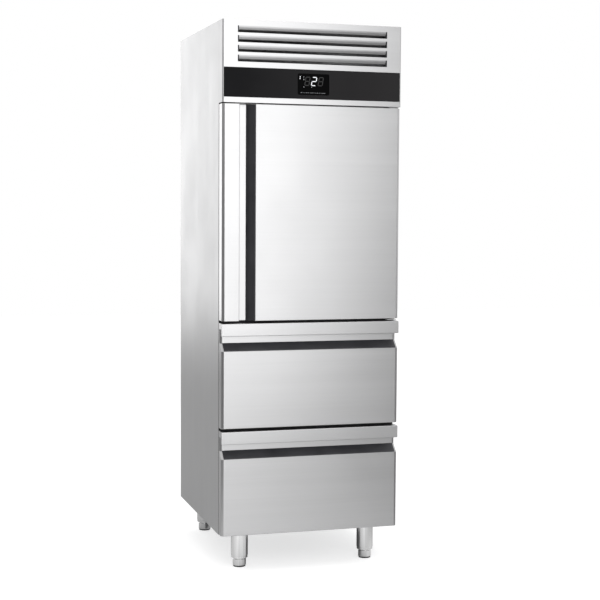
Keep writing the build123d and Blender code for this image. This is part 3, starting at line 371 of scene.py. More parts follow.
# Outlines, in metres: flat lists of (a, b) points, anticlockwise
def roundedBox(halfA, halfB, radius, middle=(0, 0), steps=4):
    points = []
    for signA, signB, start in ((1, 1, 0), (-1, 1, 90), (-1, -1, 180), (1, -1, 270)):
        for step in range(steps + 1):
            turn = math.radians(start + 90 * step / steps)
            points.append((
                middle[0] + signA * (halfA - radius) + radius * math.cos(turn),
                middle[1] + signB * (halfB - radius) + radius * math.sin(turn),
            ))
    return points


def rectangle(a0, a1, b0, b1):
    return [(a0, b0), (a1, b0), (a1, b1), (a0, b1)]


def disc(radius, middle=(0, 0), steps=48):
    turns = [2 * math.pi * n / steps for n in range(steps)]
    return [(middle[0] + radius * math.cos(turn), middle[1] + radius * math.sin(turn)) for turn in turns]


def arcPoints(centre, sizeA, sizeB, first, last, steps):
    turns = [math.radians(first + (last - first) * n / steps) for n in range(steps + 1)]
    return [(centre[0] + sizeA * math.cos(turn), centre[1] + sizeB * math.sin(turn)) for turn in turns]


def roundCorners(points, radius, steps=3, closed=True):
    # Corner arcs through short chords; points may be 2-D or 3-D, and a radius may be given for each
    points = [Vector(p) for p in points]
    count = len(points)
    result = []
    for index, here in enumerate(points):
        if not closed and index in (0, count - 1):
            result.append(here)
            continue
        size = radius[index] if isinstance(radius, (list, tuple)) else radius
        before = (points[index - 1] - here).normalized()
        after = (points[(index + 1) % count] - here).normalized()
        opening = before.angle(after)
        if size <= 0 or opening > math.radians(179):
            result.append(here)
            continue
        reach = min(
            size / math.tan(opening / 2), 0.49 * (points[index - 1] - here).length,
            0.49 * (points[(index + 1) % count] - here).length,
        )
        realSize = reach * math.tan(opening / 2)
        centre = here + (before + after).normalized() * realSize / math.sin(opening / 2)
        first = here + before * reach - centre
        last = here + after * reach - centre
        sweep = first.angle(last)
        for step in range(steps + 1):
            share = step / steps
            result.append(
                centre + (first * math.sin((1 - share) * sweep) + last * math.sin(share * sweep)) / math.sin(sweep)
            )
    return [tuple(p) for p in result]


def onPlane(points, axis, level):
    # axis is the one the plane stands across; (a, b) are the two others in the order x, y, z
    place = {"x": lambda a, b: (level, a, b), "y": lambda a, b: (a, level, b), "z": lambda a, b: (a, b, level)}[axis]
    return [place(a, b) for a, b in points]


# Mesh makers
def loft(loops, ring=False, caps=True):
    bm = bmesh.new()
    rows = [[bm.verts.new(point) for point in loop] for loop in loops]
    pairs = list(zip(rows, rows[1:]))
    if ring:
        pairs.append((rows[-1], rows[0]))
    for low, high in pairs:
        size = len(low)
        for n in range(size):
            bm.faces.new((low[n], low[(n + 1) % size], high[(n + 1) % size], high[n]))
    if caps and not ring:
        bm.faces.new(list(reversed(rows[0])))
        bm.faces.new(rows[-1])
    bmesh.ops.recalc_face_normals(bm, faces=bm.faces)
    return bm


def prism(outline, axis, low, high):
    return loft([onPlane(outline, axis, low), onPlane(outline, axis, high)])


def lathe(profile, middle, axis="z", steps=48):
    # profile is (radius, height along the axis) from one end to the other
    least = 0.00005  # an end on the axis keeps a pinhole's width, so that it closes with one flat face
    return loft([onPlane(disc(max(radius, least), middle, steps), axis, height) for radius, height in profile])


def bevelSharp(bm, width, steps=2, angle=30):
    wear = bm.faces.layers.float.get("edgeWear") or bm.faces.layers.float.new("edgeWear")
    edges = [e for e in bm.edges if len(e.link_faces) == 2 and e.calc_face_angle(0) > math.radians(angle)]
    made = bmesh.ops.bevel(
        bm, geom=edges, offset=width, offset_type="OFFSET", segments=steps, profile=0.5,
        affect="EDGES", clamp_overlap=True,
    )
    for face in made["faces"]:
        face[wear] = 1.0
    return bm


def pocketRear(bm, level, rim, deep):
    # The rear face becomes a return flange round a shallow pocket that takes the rear sheet
    rear = [f for f in bm.faces if f.normal.y > 0.99 and abs(f.calc_center_median().y - level) < 0.00005]
    made = bmesh.ops.dissolve_faces(bm, faces=rear)["region"] if len(rear) > 1 else rear
    bmesh.ops.inset_individual(bm, faces=made, thickness=rim, depth=0)
    bmesh.ops.inset_individual(bm, faces=made, thickness=0.00002, depth=-deep)
    return bm


def addTo(whole, part, number):
    for face in part.faces:
        face.material_index = number
    mesh = bpy.data.meshes.new("part")
    part.to_mesh(mesh)
    part.free()
    whole.from_mesh(mesh)
    bpy.data.meshes.remove(mesh)


def combine(parts):
    # Several bmeshes in one, each with its own material number
    whole = bmesh.new()
    for number, part in enumerate(parts):
        addTo(whole, part, number)
    return whole


def together(parts):
    whole = bmesh.new()
    for part in parts:
        addTo(whole, part, 0)
    return whole


def makePiece(name, bm, finish, smooth=35):
    mesh = bpy.data.meshes.new(name)
    bm.to_mesh(mesh)
    bm.free()
    for each in [finish] if isinstance(finish, str) else finish:
        mesh.materials.append(materials[each])
    mesh.polygons.foreach_set("use_smooth", [True] * len(mesh.polygons))
    mesh.set_sharp_from_angle(angle=math.radians(smooth))
    piece = bpy.data.objects.new(name, mesh)
    scene.collection.objects.link(piece)
    even = piece.modifiers.new("evenNormals", "WEIGHTED_NORMAL")  # flat faces stay flat beside rounded folds
    even.keep_sharp = True
    return piece


def camelName(node):
    words = node.split("_")
    return words[0] + "".join(word.title() for word in words[1:])


def dress(node, bm, finish, smooth=35, name=None):
    # The finished piece takes its node's place, on the same body
    piece = makePiece(name or camelName(node), bm, finish, smooth)
    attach(piece, bodyOf[node])
    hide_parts(node)


def softened(node, width, steps=2, angle=30):
    # The CAD node's own shape, its triangles merged back to whole faces and its edges rounded
    bm = bmesh.new()
    bm.from_mesh(nodes[node].data)
    bmesh.ops.remove_doubles(bm, verts=bm.verts, dist=0.00001)
    bmesh.ops.dissolve_limit(bm, angle_limit=math.radians(0.5), verts=bm.verts, edges=bm.edges)
    return bevelSharp(bm, width, steps, angle)


def tube(route, radius, bend, sides=16, steps=5, closed=False):
    # Bent pipe through corner points; an open one has capped ends
    line = bpy.data.curves.new("route", "CURVE")
    line.dimensions = "3D"
    line.bevel_depth = radius
    line.bevel_resolution = sides // 4
    line.use_fill_caps = not closed
    points = roundCorners(route, bend, steps, closed)
    spline = line.splines.new("POLY")
    spline.use_cyclic_u = closed
    spline.points.add(len(points) - 1)
    for point, place in zip(spline.points, points):
        point.co = (*place, 1)
    holder = bpy.data.objects.new("route", line)
    mesh = bpy.data.meshes.new_from_object(holder)
    bm = bmesh.new()
    bm.from_mesh(mesh)
    bmesh.ops.remove_doubles(bm, verts=bm.verts, dist=0.00001)
    bmesh.ops.recalc_face_normals(bm, faces=bm.faces)
    bpy.data.objects.remove(holder)
    bpy.data.curves.remove(line)
    bpy.data.meshes.remove(mesh)
    return bm


# Geometry Nodes for what repeats
def newTree(name, inputs):
    inputs = [*inputs, ("Finish", "NodeSocketMaterial", None)]
    return newGroup(name, "GeometryNodeTree", inputs, [("Geometry", "NodeSocketGeometry")])


def endTree(tree, given, result, instances, smooth=None):
    made = addNode(tree, "GeometryNodeRealizeInstances", {0: instances}).outputs[0]
    if smooth is not None:
        made = addNode(tree, "GeometryNodeSetShadeSmooth", {0: made, "Shade Smooth": smooth}).outputs[0]
    coated = addNode(tree, "GeometryNodeSetMaterial", {"Geometry": made, "Material": given.outputs["Finish"]})
    tree.links.new(coated.outputs[0], result.inputs[0])
    return tree


def rowStart(name, inputs):
    tree, given, result = newTree(name, [
        ("Count", "NodeSocketInt", 1), ("Start", "NodeSocketVector", None), ("Step", "NodeSocketVector", None), *inputs,
    ])
    along = {
        "Count": given.outputs["Count"], "Start Location": given.outputs["Start"], "Offset": given.outputs["Step"],
    }
    return tree, given, result, addNode(tree, "GeometryNodeMeshLine", along).outputs[0]


def onPoints(tree, places, part, **more):
    return addNode(tree, "GeometryNodeInstanceOnPoints", {"Points": places, "Instance": part, **more}).outputs[0]


def givenPart(tree, given, label):
    return addNode(tree, "GeometryNodeObjectInfo", {"Object": given.outputs[label]}).outputs["Geometry"]


def stacked(tree, count):
    # Points on one spot, one for each ring or blade, and their numbers
    line = addNode(tree, "GeometryNodeMeshLine", {"Count": count, "Offset": (0, 0, 0)})
    return line.outputs[0], addNode(tree, "GeometryNodeInputIndex").outputs[0]


def moved(tree, given, geometry):
    place = {"Geometry": geometry, "Translation": given.outputs["Centre"], "Rotation": given.outputs["Facing"]}
    return addNode(tree, "GeometryNodeTransform", place).outputs[0]


def makeWireRow():
    tree, given, result, places = rowStart("wireRow", [
        ("Run", "NodeSocketVector", None), ("Radius", "NodeSocketFloat", 0.002), ("Sides", "NodeSocketInt", 8),
    ])
    run = addNode(tree, "GeometryNodeCurvePrimitiveLine", {"End": given.outputs["Run"]}).outputs[0]
    ring = {"Resolution": given.outputs["Sides"], "Radius": given.outputs["Radius"]}
    profile = addNode(tree, "GeometryNodeCurvePrimitiveCircle", ring).outputs[0]
    wire = addNode(tree, "GeometryNodeCurveToMesh", {"Curve": run, "Profile Curve": profile, "Fill Caps": True})
    return endTree(tree, given, result, onPoints(tree, places, wire.outputs[0]), smooth=True)


def makePlateRow():
    tree, given, result, places = rowStart("plateRow", [("Plate", "NodeSocketVector", None)])
    plate = addNode(tree, "GeometryNodeMeshCube", {"Size": given.outputs["Plate"]}).outputs[0]
    return endTree(tree, given, result, onPoints(tree, places, plate), smooth=False)


def makePartRow():
    tree, given, result, places = rowStart("partRow", [("Part", "NodeSocketObject", None)])
    return endTree(tree, given, result, onPoints(tree, places, givenPart(tree, given, "Part")))


def makeScatter():
    # A part set on every point of the base mesh, all turned the same way
    tree, given, result = newTree("scatterPart", [
        ("Places", "NodeSocketGeometry", None), ("Part", "NodeSocketObject", None),
        ("Turn", "NodeSocketRotation", None),
    ])
    part = givenPart(tree, given, "Part")
    return endTree(tree, given, result, onPoints(tree, given.outputs["Places"], part, Rotation=given.outputs["Turn"]))


def makeRingGuard():
    # Wire rings inside each other, for a fan guard
    tree, given, result = newTree("ringGuard", [
        ("Rings", "NodeSocketInt", 6), ("First", "NodeSocketFloat", 0.02), ("Pitch", "NodeSocketFloat", 0.012),
        ("Wire", "NodeSocketFloat", 0.001), ("Centre", "NodeSocketVector", None),
        ("Facing", "NodeSocketRotation", None),
    ])
    places, number = stacked(tree, given.outputs["Rings"])
    grown = maths(tree, "MULTIPLY_ADD", number, given.outputs["Pitch"], given.outputs["First"])
    unit = addNode(tree, "GeometryNodeCurvePrimitiveCircle", {"Resolution": 40, "Radius": 1.0}).outputs[0]
    rings = addNode(tree, "GeometryNodeRealizeInstances", {0: onPoints(tree, places, unit, Scale=grown)})
    profile = addNode(tree, "GeometryNodeCurvePrimitiveCircle", {"Resolution": 6, "Radius": given.outputs["Wire"]})
    wires = addNode(tree, "GeometryNodeCurveToMesh", {"Curve": rings.outputs[0], "Profile Curve": profile.outputs[0]})
    return endTree(tree, given, result, moved(tree, given, wires.outputs[0]), smooth=True)


def makeFanWheel():
    # Blades set evenly round a hub
    tree, given, result = newTree("fanWheel", [
        ("Blades", "NodeSocketInt", 5), ("Blade", "NodeSocketObject", None), ("Centre", "NodeSocketVector", None),
        ("Facing", "NodeSocketRotation", None),
    ])
    places, number = stacked(tree, given.outputs["Blades"])
    turn = maths(tree, "MULTIPLY", maths(tree, "DIVIDE", number, given.outputs["Blades"]), 2 * math.pi)
    about = addNode(tree, "ShaderNodeCombineXYZ", {"Z": turn}).outputs[0]
    wheel = onPoints(tree, places, givenPart(tree, given, "Blade"), Rotation=about)
    real = addNode(tree, "GeometryNodeRealizeInstances", {0: wheel}).outputs[0]
    return endTree(tree, given, result, moved(tree, given, real), smooth=True)


trees = {
    "wireRow": makeWireRow(), "plateRow": makePlateRow(), "partRow": makePartRow(),
    "scatter": makeScatter(), "ringGuard": makeRingGuard(), "fanWheel": makeFanWheel(),
}


def growMesh(treeName, values, places=None):
    # Runs a tree on a holder object and keeps the plain mesh it makes, as a bmesh
    tree = trees[treeName]
    sockets = {item.name: item.identifier for item in tree.interface.items_tree if item.in_out == "INPUT"}
    base = bpy.data.meshes.new("places")
    base.from_pydata([tuple(p) for p in places or []], [], [])
    holder = bpy.data.objects.new("holder", base)
    scene.collection.objects.link(holder)
    modifier = holder.modifiers.new("grow", "NODES")
    modifier.node_group = tree
    for label, value in values.items():
        modifier[sockets[label]] = value
    made = bpy.data.meshes.new_from_object(holder.evaluated_get(bpy.context.evaluated_depsgraph_get()))
    holder.modifiers.remove(modifier)
    bm = bmesh.new()
    bm.from_mesh(made)
    bpy.data.objects.remove(holder)
    bpy.data.meshes.remove(made)
    bpy.data.meshes.remove(base)
    return bm


def partHolder(name, bm, finish):
    # A part that trees repeat; it is taken away once they have run
    part = makePiece(name, bm, finish)
    part.hide_render = True
    return part


print("mesh tools ready")

# Lines the pieces share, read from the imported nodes
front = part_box("control_glass")[0].y
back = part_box("side_panel_left")[1].y
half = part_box("side_panel_right")[1].x
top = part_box("side_panel_left")[1].z
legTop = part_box("side_panel_left")[0].z
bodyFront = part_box("side_panel_left")[0].y
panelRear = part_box("door_skin")[1].y
face = front + 0.006
sheet = 0.0012

screwSizes = {
    "headRadius": 0.0042, "headHeight": 0.0011, "crossWidth": 0.0009, "crossReach": 0.42, "crossDeep": 0.0006,
}


def screwHead(sizes):
    # Pan head on the +z side of its seat, with a shallow cross on its domed top
    r, h = sizes["headRadius"], sizes["headHeight"]
    w, s = sizes["crossWidth"] / 2, r * sizes["crossReach"]
    dome = [(r * 0.98, -0.0002), (r, h * 0.35), (r * 0.86, h * 0.75), (r * 0.55, h * 0.95), (r * 0.5, h)]
    cross = [(w, w), (w, s), (-w, s), (-w, w), (-s, w), (-s, -w), (-w, -w), (-w, -s), (w, -s), (w, -w), (s, -w),
             (s, w)]
    return together([lathe(dome, (0, 0), steps=16), prism(cross, "z", h - sizes["crossDeep"], h + 0.00005)])


screw = partHolder("screwPart", screwHead(screwSizes), "railZinc")


def screwsAt(places, turn, finish="railZinc"):
    return growMesh("scatter", {"Part": screw, "Turn": turn, "Finish": materials[finish]}, places)


facing = {"front": (math.pi / 2, 0, 0), "back": (-math.pi / 2, 0, 0), "up": (0, 0, 0), "down": (math.pi, 0, 0),
          "left": (0, -math.pi / 2, 0), "right": (0, math.pi / 2, 0)}


# Sheet folded along a plan path, with openings cut through; path is read at height z, thickness goes inwards
def foldedSheet(path, low, high, holes, thick):
    runs = [0.0]
    for a, b in zip(path, path[1:]):
        runs.append(runs[-1] + (Vector(b) - Vector(a)).length)
    centre = runs[-1] / 2
    cuts = sorted({round(r - centre, 6) for r in runs} | {round(e, 6) for hole in holes for e in hole[:2]})
    levels = sorted({low, high} | {e for hole in holes for e in hole[2:]})

    def placeAt(u):
        s = u + centre
        for n in range(len(path) - 1):
            if s <= runs[n + 1] + 1e-7:
                share = (s - runs[n]) / (runs[n + 1] - runs[n])
                return Vector(path[n]).lerp(Vector(path[n + 1]), min(max(share, 0), 1))
        return Vector(path[-1])

    def sideAt(u):
        step = 0.0001
        ahead = placeAt(min(u + step, centre)) - placeAt(u)
        behind = placeAt(u) - placeAt(max(u - step, -centre))
        ways = [v.normalized() for v in (ahead, behind) if v.length > 1e-9]
        normals = [Vector((-w.y, w.x)) for w in ways]
        mean = sum(normals, Vector((0, 0))).normalized()
        return mean / max(mean.dot(normals[0]), 0.5)

    bm = bmesh.new()
    outer, inner = {}, {}
    for i, u in enumerate(cuts):
        here, side = placeAt(u), sideAt(u)
        deep = here + side * thick
        for j, z in enumerate(levels):
            outer[i, j] = bm.verts.new((here.x, here.y, z))
            inner[i, j] = bm.verts.new((deep.x, deep.y, z))

    def solid(i, j):
        if not (0 <= i < len(cuts) - 1 and 0 <= j < len(levels) - 1):
            return False
        u, z = (cuts[i] + cuts[i + 1]) / 2, (levels[j] + levels[j + 1]) / 2
        return not any(h[0] < u < h[1] and h[2] < z < h[3] for h in holes)

    for i in range(len(cuts) - 1):
        for j in range(len(levels) - 1):
            if not solid(i, j):
                continue
            a, b, c, d = (i, j), (i + 1, j), (i + 1, j + 1), (i, j + 1)
            bm.faces.new([outer[k] for k in (a, b, c, d)])
            bm.faces.new([inner[k] for k in (d, c, b, a)])
            for near, p, q in (((i, j - 1), a, b), ((i + 1, j), b, c), ((i, j + 1), c, d), ((i - 1, j), d, a)):
                if not solid(*near):
                    bm.faces.new([outer[q], outer[p], inner[p], inner[q]])
    bmesh.ops.delete(bm, geom=[v for v in bm.verts if not v.link_faces], context="VERTS")
    bmesh.ops.recalc_face_normals(bm, faces=bm.faces)
    return bm


# Side panels: folded sheet with flanges at the front, back and top
sidePanel = {"flange": 0.025, "fold": 0.0022}


def makeSidePanel(side, node, setup):
    x0, x1 = side * half, side * (half - setup["flange"])
    corners = [(x1, bodyFront), (x0, bodyFront), (x0, back), (x1, back)]
    if side < 0:
        corners.reverse()
    walls = foldedSheet(roundCorners(corners, setup["fold"], 4, closed=False), legTop, top, [], sheet)
    lid = rectangle(min(x0, x1) + sheet, max(x0, x1) - sheet, bodyFront + sheet, back - sheet)
    dress(node, together([walls, prism(lid, "z", top - sheet, top)]), "cabinetSteel")


makeSidePanel(-1, "side_panel_left", sidePanel)
makeSidePanel(1, "side_panel_right", sidePanel)

# Back panel: tall vents behind the condensing unit, screws round the rim, two pressed stiffening ribs
backPanel = {"ventWidth": 0.010, "ventHeight": 0.180, "ventPitch": 0.050, "vents": 11, "ventMiddle": 1.93725,
             "screwInset": 0.012, "screwPitch": 0.32, "rimScrewX": 0.11,
             "ribs": (0.62, 1.18), "ribHalf": 0.27, "ribFoot": 0.012, "ribCrest": 0.006, "ribProud": 0.001}


def makeBackPanel(setup):
    low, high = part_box("back_panel")
    w, h = setup["ventWidth"] / 2, setup["ventHeight"] / 2
    holes = []
    for n in range(setup["vents"]):
        u = (n - (setup["vents"] - 1) / 2) * setup["ventPitch"]
        holes.append((u - w, u + w, setup["ventMiddle"] - h, setup["ventMiddle"] + h))
    sheetMetal = foldedSheet([(high.x, high.y), (low.x, high.y)], low.z, high.z, holes, sheet)
    inset, aside = setup["screwInset"], setup["rimScrewX"]
    tall = high.z - low.z - 2 * inset
    rows = round(tall / setup["screwPitch"])
    levels = [low.z + inset + tall * n / rows for n in range(rows + 1)]
    places = [(x, high.y, z) for z in levels for x in (low.x + inset, high.x - inset)]
    places += [(x, high.y, z) for x in (-aside, aside) for z in (low.z + inset, high.z - inset)]
    seat, crest = high.y - 0.0002, high.y + setup["ribProud"]
    foot, flat = setup["ribFoot"], setup["ribCrest"]
    ribs = [
        prism([(seat, z - foot), (crest, z - flat), (crest, z + flat), (seat, z + foot)], "x",
              -setup["ribHalf"], setup["ribHalf"])
        for z in setup["ribs"]
    ]
    screws = screwsAt(places, facing["back"])
    dress("back_panel", combine([together([sheetMetal] + ribs), screws]), ["cabinetSteel", "railZinc"])


makeBackPanel(backPanel)

# Top front panel: folded stainless sheet with four louvres, a step for the glass and closed ends
fascia = {
    "bottom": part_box("fascia_panel")[0].z, "bevel": 0.005, "fold": 0.0014, "foldPlay": 0.0006, "floorShort": 0.004,
    "glassTop": 1.905, "glassBottom": 1.7945, "glassStep": 0.0042, "displayHalf": 0.062, "displayHigh": 0.040,
    "louvreHalf": 0.292, "louvreMargin": 0.0205, "louvrePitch": 0.0358, "louvreOpening": 0.025, "louvres": 4,
    "bladeShort": 0.005, "baffleDeep": 0.025, "baffleTop": 0.0095, "baffleDrop": 0.0205, "baffleLap": 0.004,
    # Blade section, behind the front and above the slot's upper edge: down the outside, round the hem, back up
    "curl": [
        (0.0003, 0.0014), (0.0005, -0.0010), (0.0010, -0.0046), (0.0021, -0.0082), (0.0038, -0.0117),
        (0.0062, -0.0150), (0.0093, -0.0180), (0.0128, -0.0204), (0.0143, -0.0211), (0.0154, -0.0209),
        (0.0154, -0.0199), (0.0143, -0.0194), (0.0108, -0.0171), (0.0077, -0.0142), (0.0051, -0.0110),
        (0.0034, -0.0075), (0.0023, -0.0040), (0.0019, 0.0014),
    ],
}


def makeFascia(setup):
    bevel, play, opening = setup["bevel"], setup["foldPlay"], setup["louvreOpening"]
    bottom, low, high = setup["bottom"], setup["glassBottom"], setup["glassTop"]
    corners = [(-half, bodyFront), (-half, front + bevel), (-half + bevel, front),
               (half - bevel, front), (half, front + bevel), (half, bodyFront)]
    path = roundCorners(corners, setup["fold"], 3, closed=False)
    glassHalf = half - bevel
    holes = [(-glassHalf, glassHalf, low, high)]
    sills = [high + setup["louvreMargin"] + n * setup["louvrePitch"] for n in range(setup["louvres"])]
    heads = [sill + opening for sill in sills]
    holes += [(-setup["louvreHalf"], setup["louvreHalf"], *slot) for slot in zip(sills, heads)]
    shell = foldedSheet(path, bottom, top, holes, sheet)
    # Closed upper and lower ends
    inside = [(-half + sheet, bodyFront), (-half + sheet, front + bevel + play), (-half + bevel + play, front + sheet),
              (half - bevel - play, front + sheet), (half - sheet, front + bevel + play), (half - sheet, bodyFront)]
    under = [(x, y if y < bodyFront - 0.002 else bodyFront - setup["floorShort"]) for x, y in inside]
    ends = [prism(inside, "z", top - sheet, top), prism(under, "z", bottom, bottom + sheet)]
    # Step for the glass: a pan with the display's cut-out, and four lips round it
    deep = front + setup["glassStep"]
    middle = (low + high) / 2
    cutOut = (
        -setup["displayHalf"], setup["displayHalf"], middle - setup["displayHigh"], middle + setup["displayHigh"],
    )
    step = [foldedSheet([(-glassHalf, deep), (glassHalf, deep)], low - sheet, high + sheet, [cutOut], sheet)]
    for z0, z1 in ((low - sheet, low), (high, high + sheet)):
        step.append(prism(rectangle(-glassHalf, glassHalf, front + sheet / 2, deep), "z", z0, z1))
    for x0, x1 in ((-glassHalf - sheet, -glassHalf), (glassHalf, glassHalf + sheet)):
        step.append(prism(rectangle(x0, x1, front + sheet / 2, deep), "z", low, high))
    # Blades hang from the slots' upper edges and curl back under themselves
    bladeEnd = setup["louvreHalf"] - setup["bladeShort"]
    curl = [(front + inwards, up) for inwards, up in setup["curl"]]
    # The blades take the darker steel, painted shade inside the slots
    blade = partHolder("bladePart", prism(curl, "x", -bladeEnd, bladeEnd), "bladeSteel")
    blades = growMesh("partRow", {
        "Count": setup["louvres"], "Start": (0, 0, heads[0]), "Step": (0, 0, setup["louvrePitch"]),
        "Part": blade, "Finish": materials["bladeSteel"],
    })
    bpy.data.objects.remove(blade)
    # Black strips behind both ends of the louvres, and an upright black baffle behind each slot's lower edge: dark
    # sheets as painted shade inside the louvres
    louvreShadeSheets = []
    deep, lap = front + setup["baffleDeep"], setup["baffleLap"]
    for side in (-1, 1):
        x0, x1 = sorted((side * (bladeEnd + 0.0002), side * (setup["louvreHalf"] + lap)))
        strip = roundCorners(rectangle(x0, x1, front + 0.0018, deep + sheet), 0.0006)
        louvreShadeSheets.append(prism(strip, "z", heads[0] - opening - lap, heads[-1] + lap))
    for head in heads:
        sill = head - opening
        baffle = rectangle(deep, deep + sheet, sill - setup["baffleDrop"], sill + setup["baffleTop"])
        louvreShadeSheets.append(prism(roundCorners(baffle, 0.0004), "x", -setup["louvreHalf"] - lap, setup["louvreHalf"] + lap))
    whole = combine([together([shell] + ends), blades, together(step), together(louvreShadeSheets)])
    for face in whole.faces:
        if face.material_index == 0 and abs(face.normal.x) > 0.9:
            face.material_index = 4
    finish = ["frontSteel", "bladeSteel", "frontSteel", "gasketRubber", "cabinetSteel"]
    dress("fascia_panel", whole, finish, name="louvredTopPanel")


makeFascia(fascia)

# Control glass with a polished rim, and the display behind its cut-out
display = {"halfWide": 0.062, "halfHigh": 0.040, "corner": 0.006, "gap": 0.0002, "deep": 0.016, "edge": 0.0005,
           "glassCorner": 0.0008, "rim": 0.0022, "screenDrop": 0.0008, "lit": 0.0003}
digits = {"height": 0.034, "width": 0.0195, "stroke": 0.0030, "slant": 0.16, "gap": 0.0006,
          "litMiddle": (0.0025, 0.0115), "ghosts": (-0.0235, 0.0285), "small": (-0.0545, 0.0245), "smallHeight": 0.0150,
          "smallStroke": 0.0028, "smallGap": 0.0003,
          "dots": ((-0.038, 0.027), (-0.038, 0.018), (-0.0375, -0.010), (-0.0075, -0.010)), "dot": 0.0010,
          "marks": 14, "markLevel": -0.0315, "markStart": -0.0475, "markPitch": 0.0071}
segmentsOf = {"2": "abged", "1": "bc", "8": "abcdefg"}


def segmentShapes(letter, middle, height, width, stroke, slant, gap):
    # Seven bars with pointed ends, leaning to the right
    halfW, halfH, s = width / 2 - stroke / 2, height / 2 - stroke / 2, stroke / 2
    ends = {"a": ((-halfW, halfH), (halfW, halfH)), "b": ((halfW, halfH), (halfW, 0)),
            "c": ((halfW, 0), (halfW, -halfH)), "d": ((-halfW, -halfH), (halfW, -halfH)),
            "e": ((-halfW, 0), (-halfW, -halfH)), "f": ((-halfW, halfH), (-halfW, 0)),
            "g": ((-halfW, 0), (halfW, 0))}
    shapes = []
    for key in segmentsOf[letter]:
        a, b = (Vector(p) for p in ends[key])
        way = (b - a).normalized()
        across = Vector((-way.y, way.x)) * s
        a, b = a + way * gap, b - way * gap
        outline = [a, a + way * s + across, b - way * s + across, b, b - way * s - across, a + way * s - across]
        shapes.append([(middle[0] + p.x + p.y * slant, middle[1] + p.y) for p in outline])
    return shapes


def makeDisplay(setup, sizes):
    low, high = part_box("control_glass")
    middle = (low.z + high.z) / 2
    wide, tall, gap, edge = setup["halfWide"], setup["halfHigh"], setup["gap"], setup["edge"]
    halfX, halfZ = (high.x - low.x) / 2, (high.z - low.z) / 2
    window = roundedBox(wide, tall, setup["corner"], (0, middle))
    rim = roundedBox(halfX, halfZ, setup["glassCorner"], (0, middle))
    rimIn = roundedBox(halfX - edge, halfZ - edge, setup["glassCorner"], (0, middle))
    y = low.y
    glass = [(rimIn, y), (rim, y + edge), (rim, high.y), (window, high.y), (window, y)]
    dress("control_glass", loft([onPlane(loop, "y", at) for loop, at in glass], ring=True), "blackGlass", smooth=25)
    bezel = roundedBox(wide - gap, tall - gap, setup["corner"] - gap, (0, middle))
    well = roundedBox(wide - setup["rim"], tall - setup["rim"], setup["corner"] - 0.0016, (0, middle))
    screenY = y + setup["screenDrop"]
    box = [(bezel, y + setup["deep"]), (bezel, y + gap), (well, y + gap), (well, screenY)]
    lit, ghost, soft = [], [], []

    def show(shapes, group, proud):
        for outline in shapes:
            group.append(prism(outline, "y", screenY - proud, screenY))

    size = (sizes["height"], sizes["width"], sizes["stroke"], sizes["slant"], sizes["gap"])
    digitZ = middle + sizes["litMiddle"][1]
    show(segmentShapes("2", (sizes["litMiddle"][0], digitZ), *size), lit, setup["lit"])
    for x in sizes["ghosts"]:
        show(segmentShapes("8", (x, digitZ), *size), ghost, setup["lit"] / 2)
    small = (sizes["smallHeight"], sizes["smallHeight"] / 2, sizes["smallStroke"], sizes["slant"], sizes["smallGap"])
    show(segmentShapes("1", (sizes["small"][0], middle + sizes["small"][1]), *small), lit, setup["lit"])
    show([disc(sizes["dot"], (x, middle + z), 12) for x, z in sizes["dots"]], lit, setup["lit"])
    # Row of plain marks under the digits: bars, dots and small triangles by turns
    z = middle + sizes["markLevel"]
    for n in range(sizes["marks"]):
        x = sizes["markStart"] + n * sizes["markPitch"]
        bar = roundedBox(0.0023, 0.0007, 0.0005, (x, z), 3)
        dot = disc(0.0011, (x, z), 12)
        triangle = [(x - 0.0014, z - 0.0011), (x + 0.0014, z - 0.0011), (x, z + 0.0013)]
        show([(bar, dot, triangle)[n % 3]], soft, setup["lit"])
    module = [loft([onPlane(loop, "y", at) for loop, at in box]), together(lit), together(ghost), together(soft)]
    dress("display_module", combine(module), ["displayPlastic", "litMark", "dimMark", "softMark"])


makeDisplay(display, digits)

# Legs: sleeve with a flange and a rolled lower rim, foot with a turned groove and a rubber pad
legSizes = {
    "bore": 0.0262, "sleeve": 0.0325, "sleeveBottom": 0.035, "foot": 0.0255,
    "flange": 0.046, "flangeCorner": 0.008, "flangeThick": 0.004, "screwAt": 0.037,
    # Radius less than the sleeve's, height above its lower end
    "rolledRim": [(0.0035, 0.0), (0.0012, 0.0010), (0.0006, 0.003), (0.0014, 0.0045), (0.0010, 0.0070), (0.0, 0.0110)],
    # Radius less than the sleeve's, depth below the flange's top
    "sleeveTop": [(0.0, 0.012), (0.0006, 0.009), (0.0004, 0.004)],
    # Radius less than the foot's, height above the floor
    "pad": [(0.0045, 0.0), (0.0022, 0.0008), (0.0015, 0.0022), (0.0015, 0.0042), (0.0024, 0.0050)],
    "turned": [(0.0030, 0.0046), (0.0014, 0.0054), (0.0004, 0.0064), (0.0, 0.0080), (0.0, 0.0300), (0.0010, 0.0310),
               (0.0010, 0.0318), (0.0, 0.0328), (0.0, 0.0685), (0.0015, 0.0700)],
}


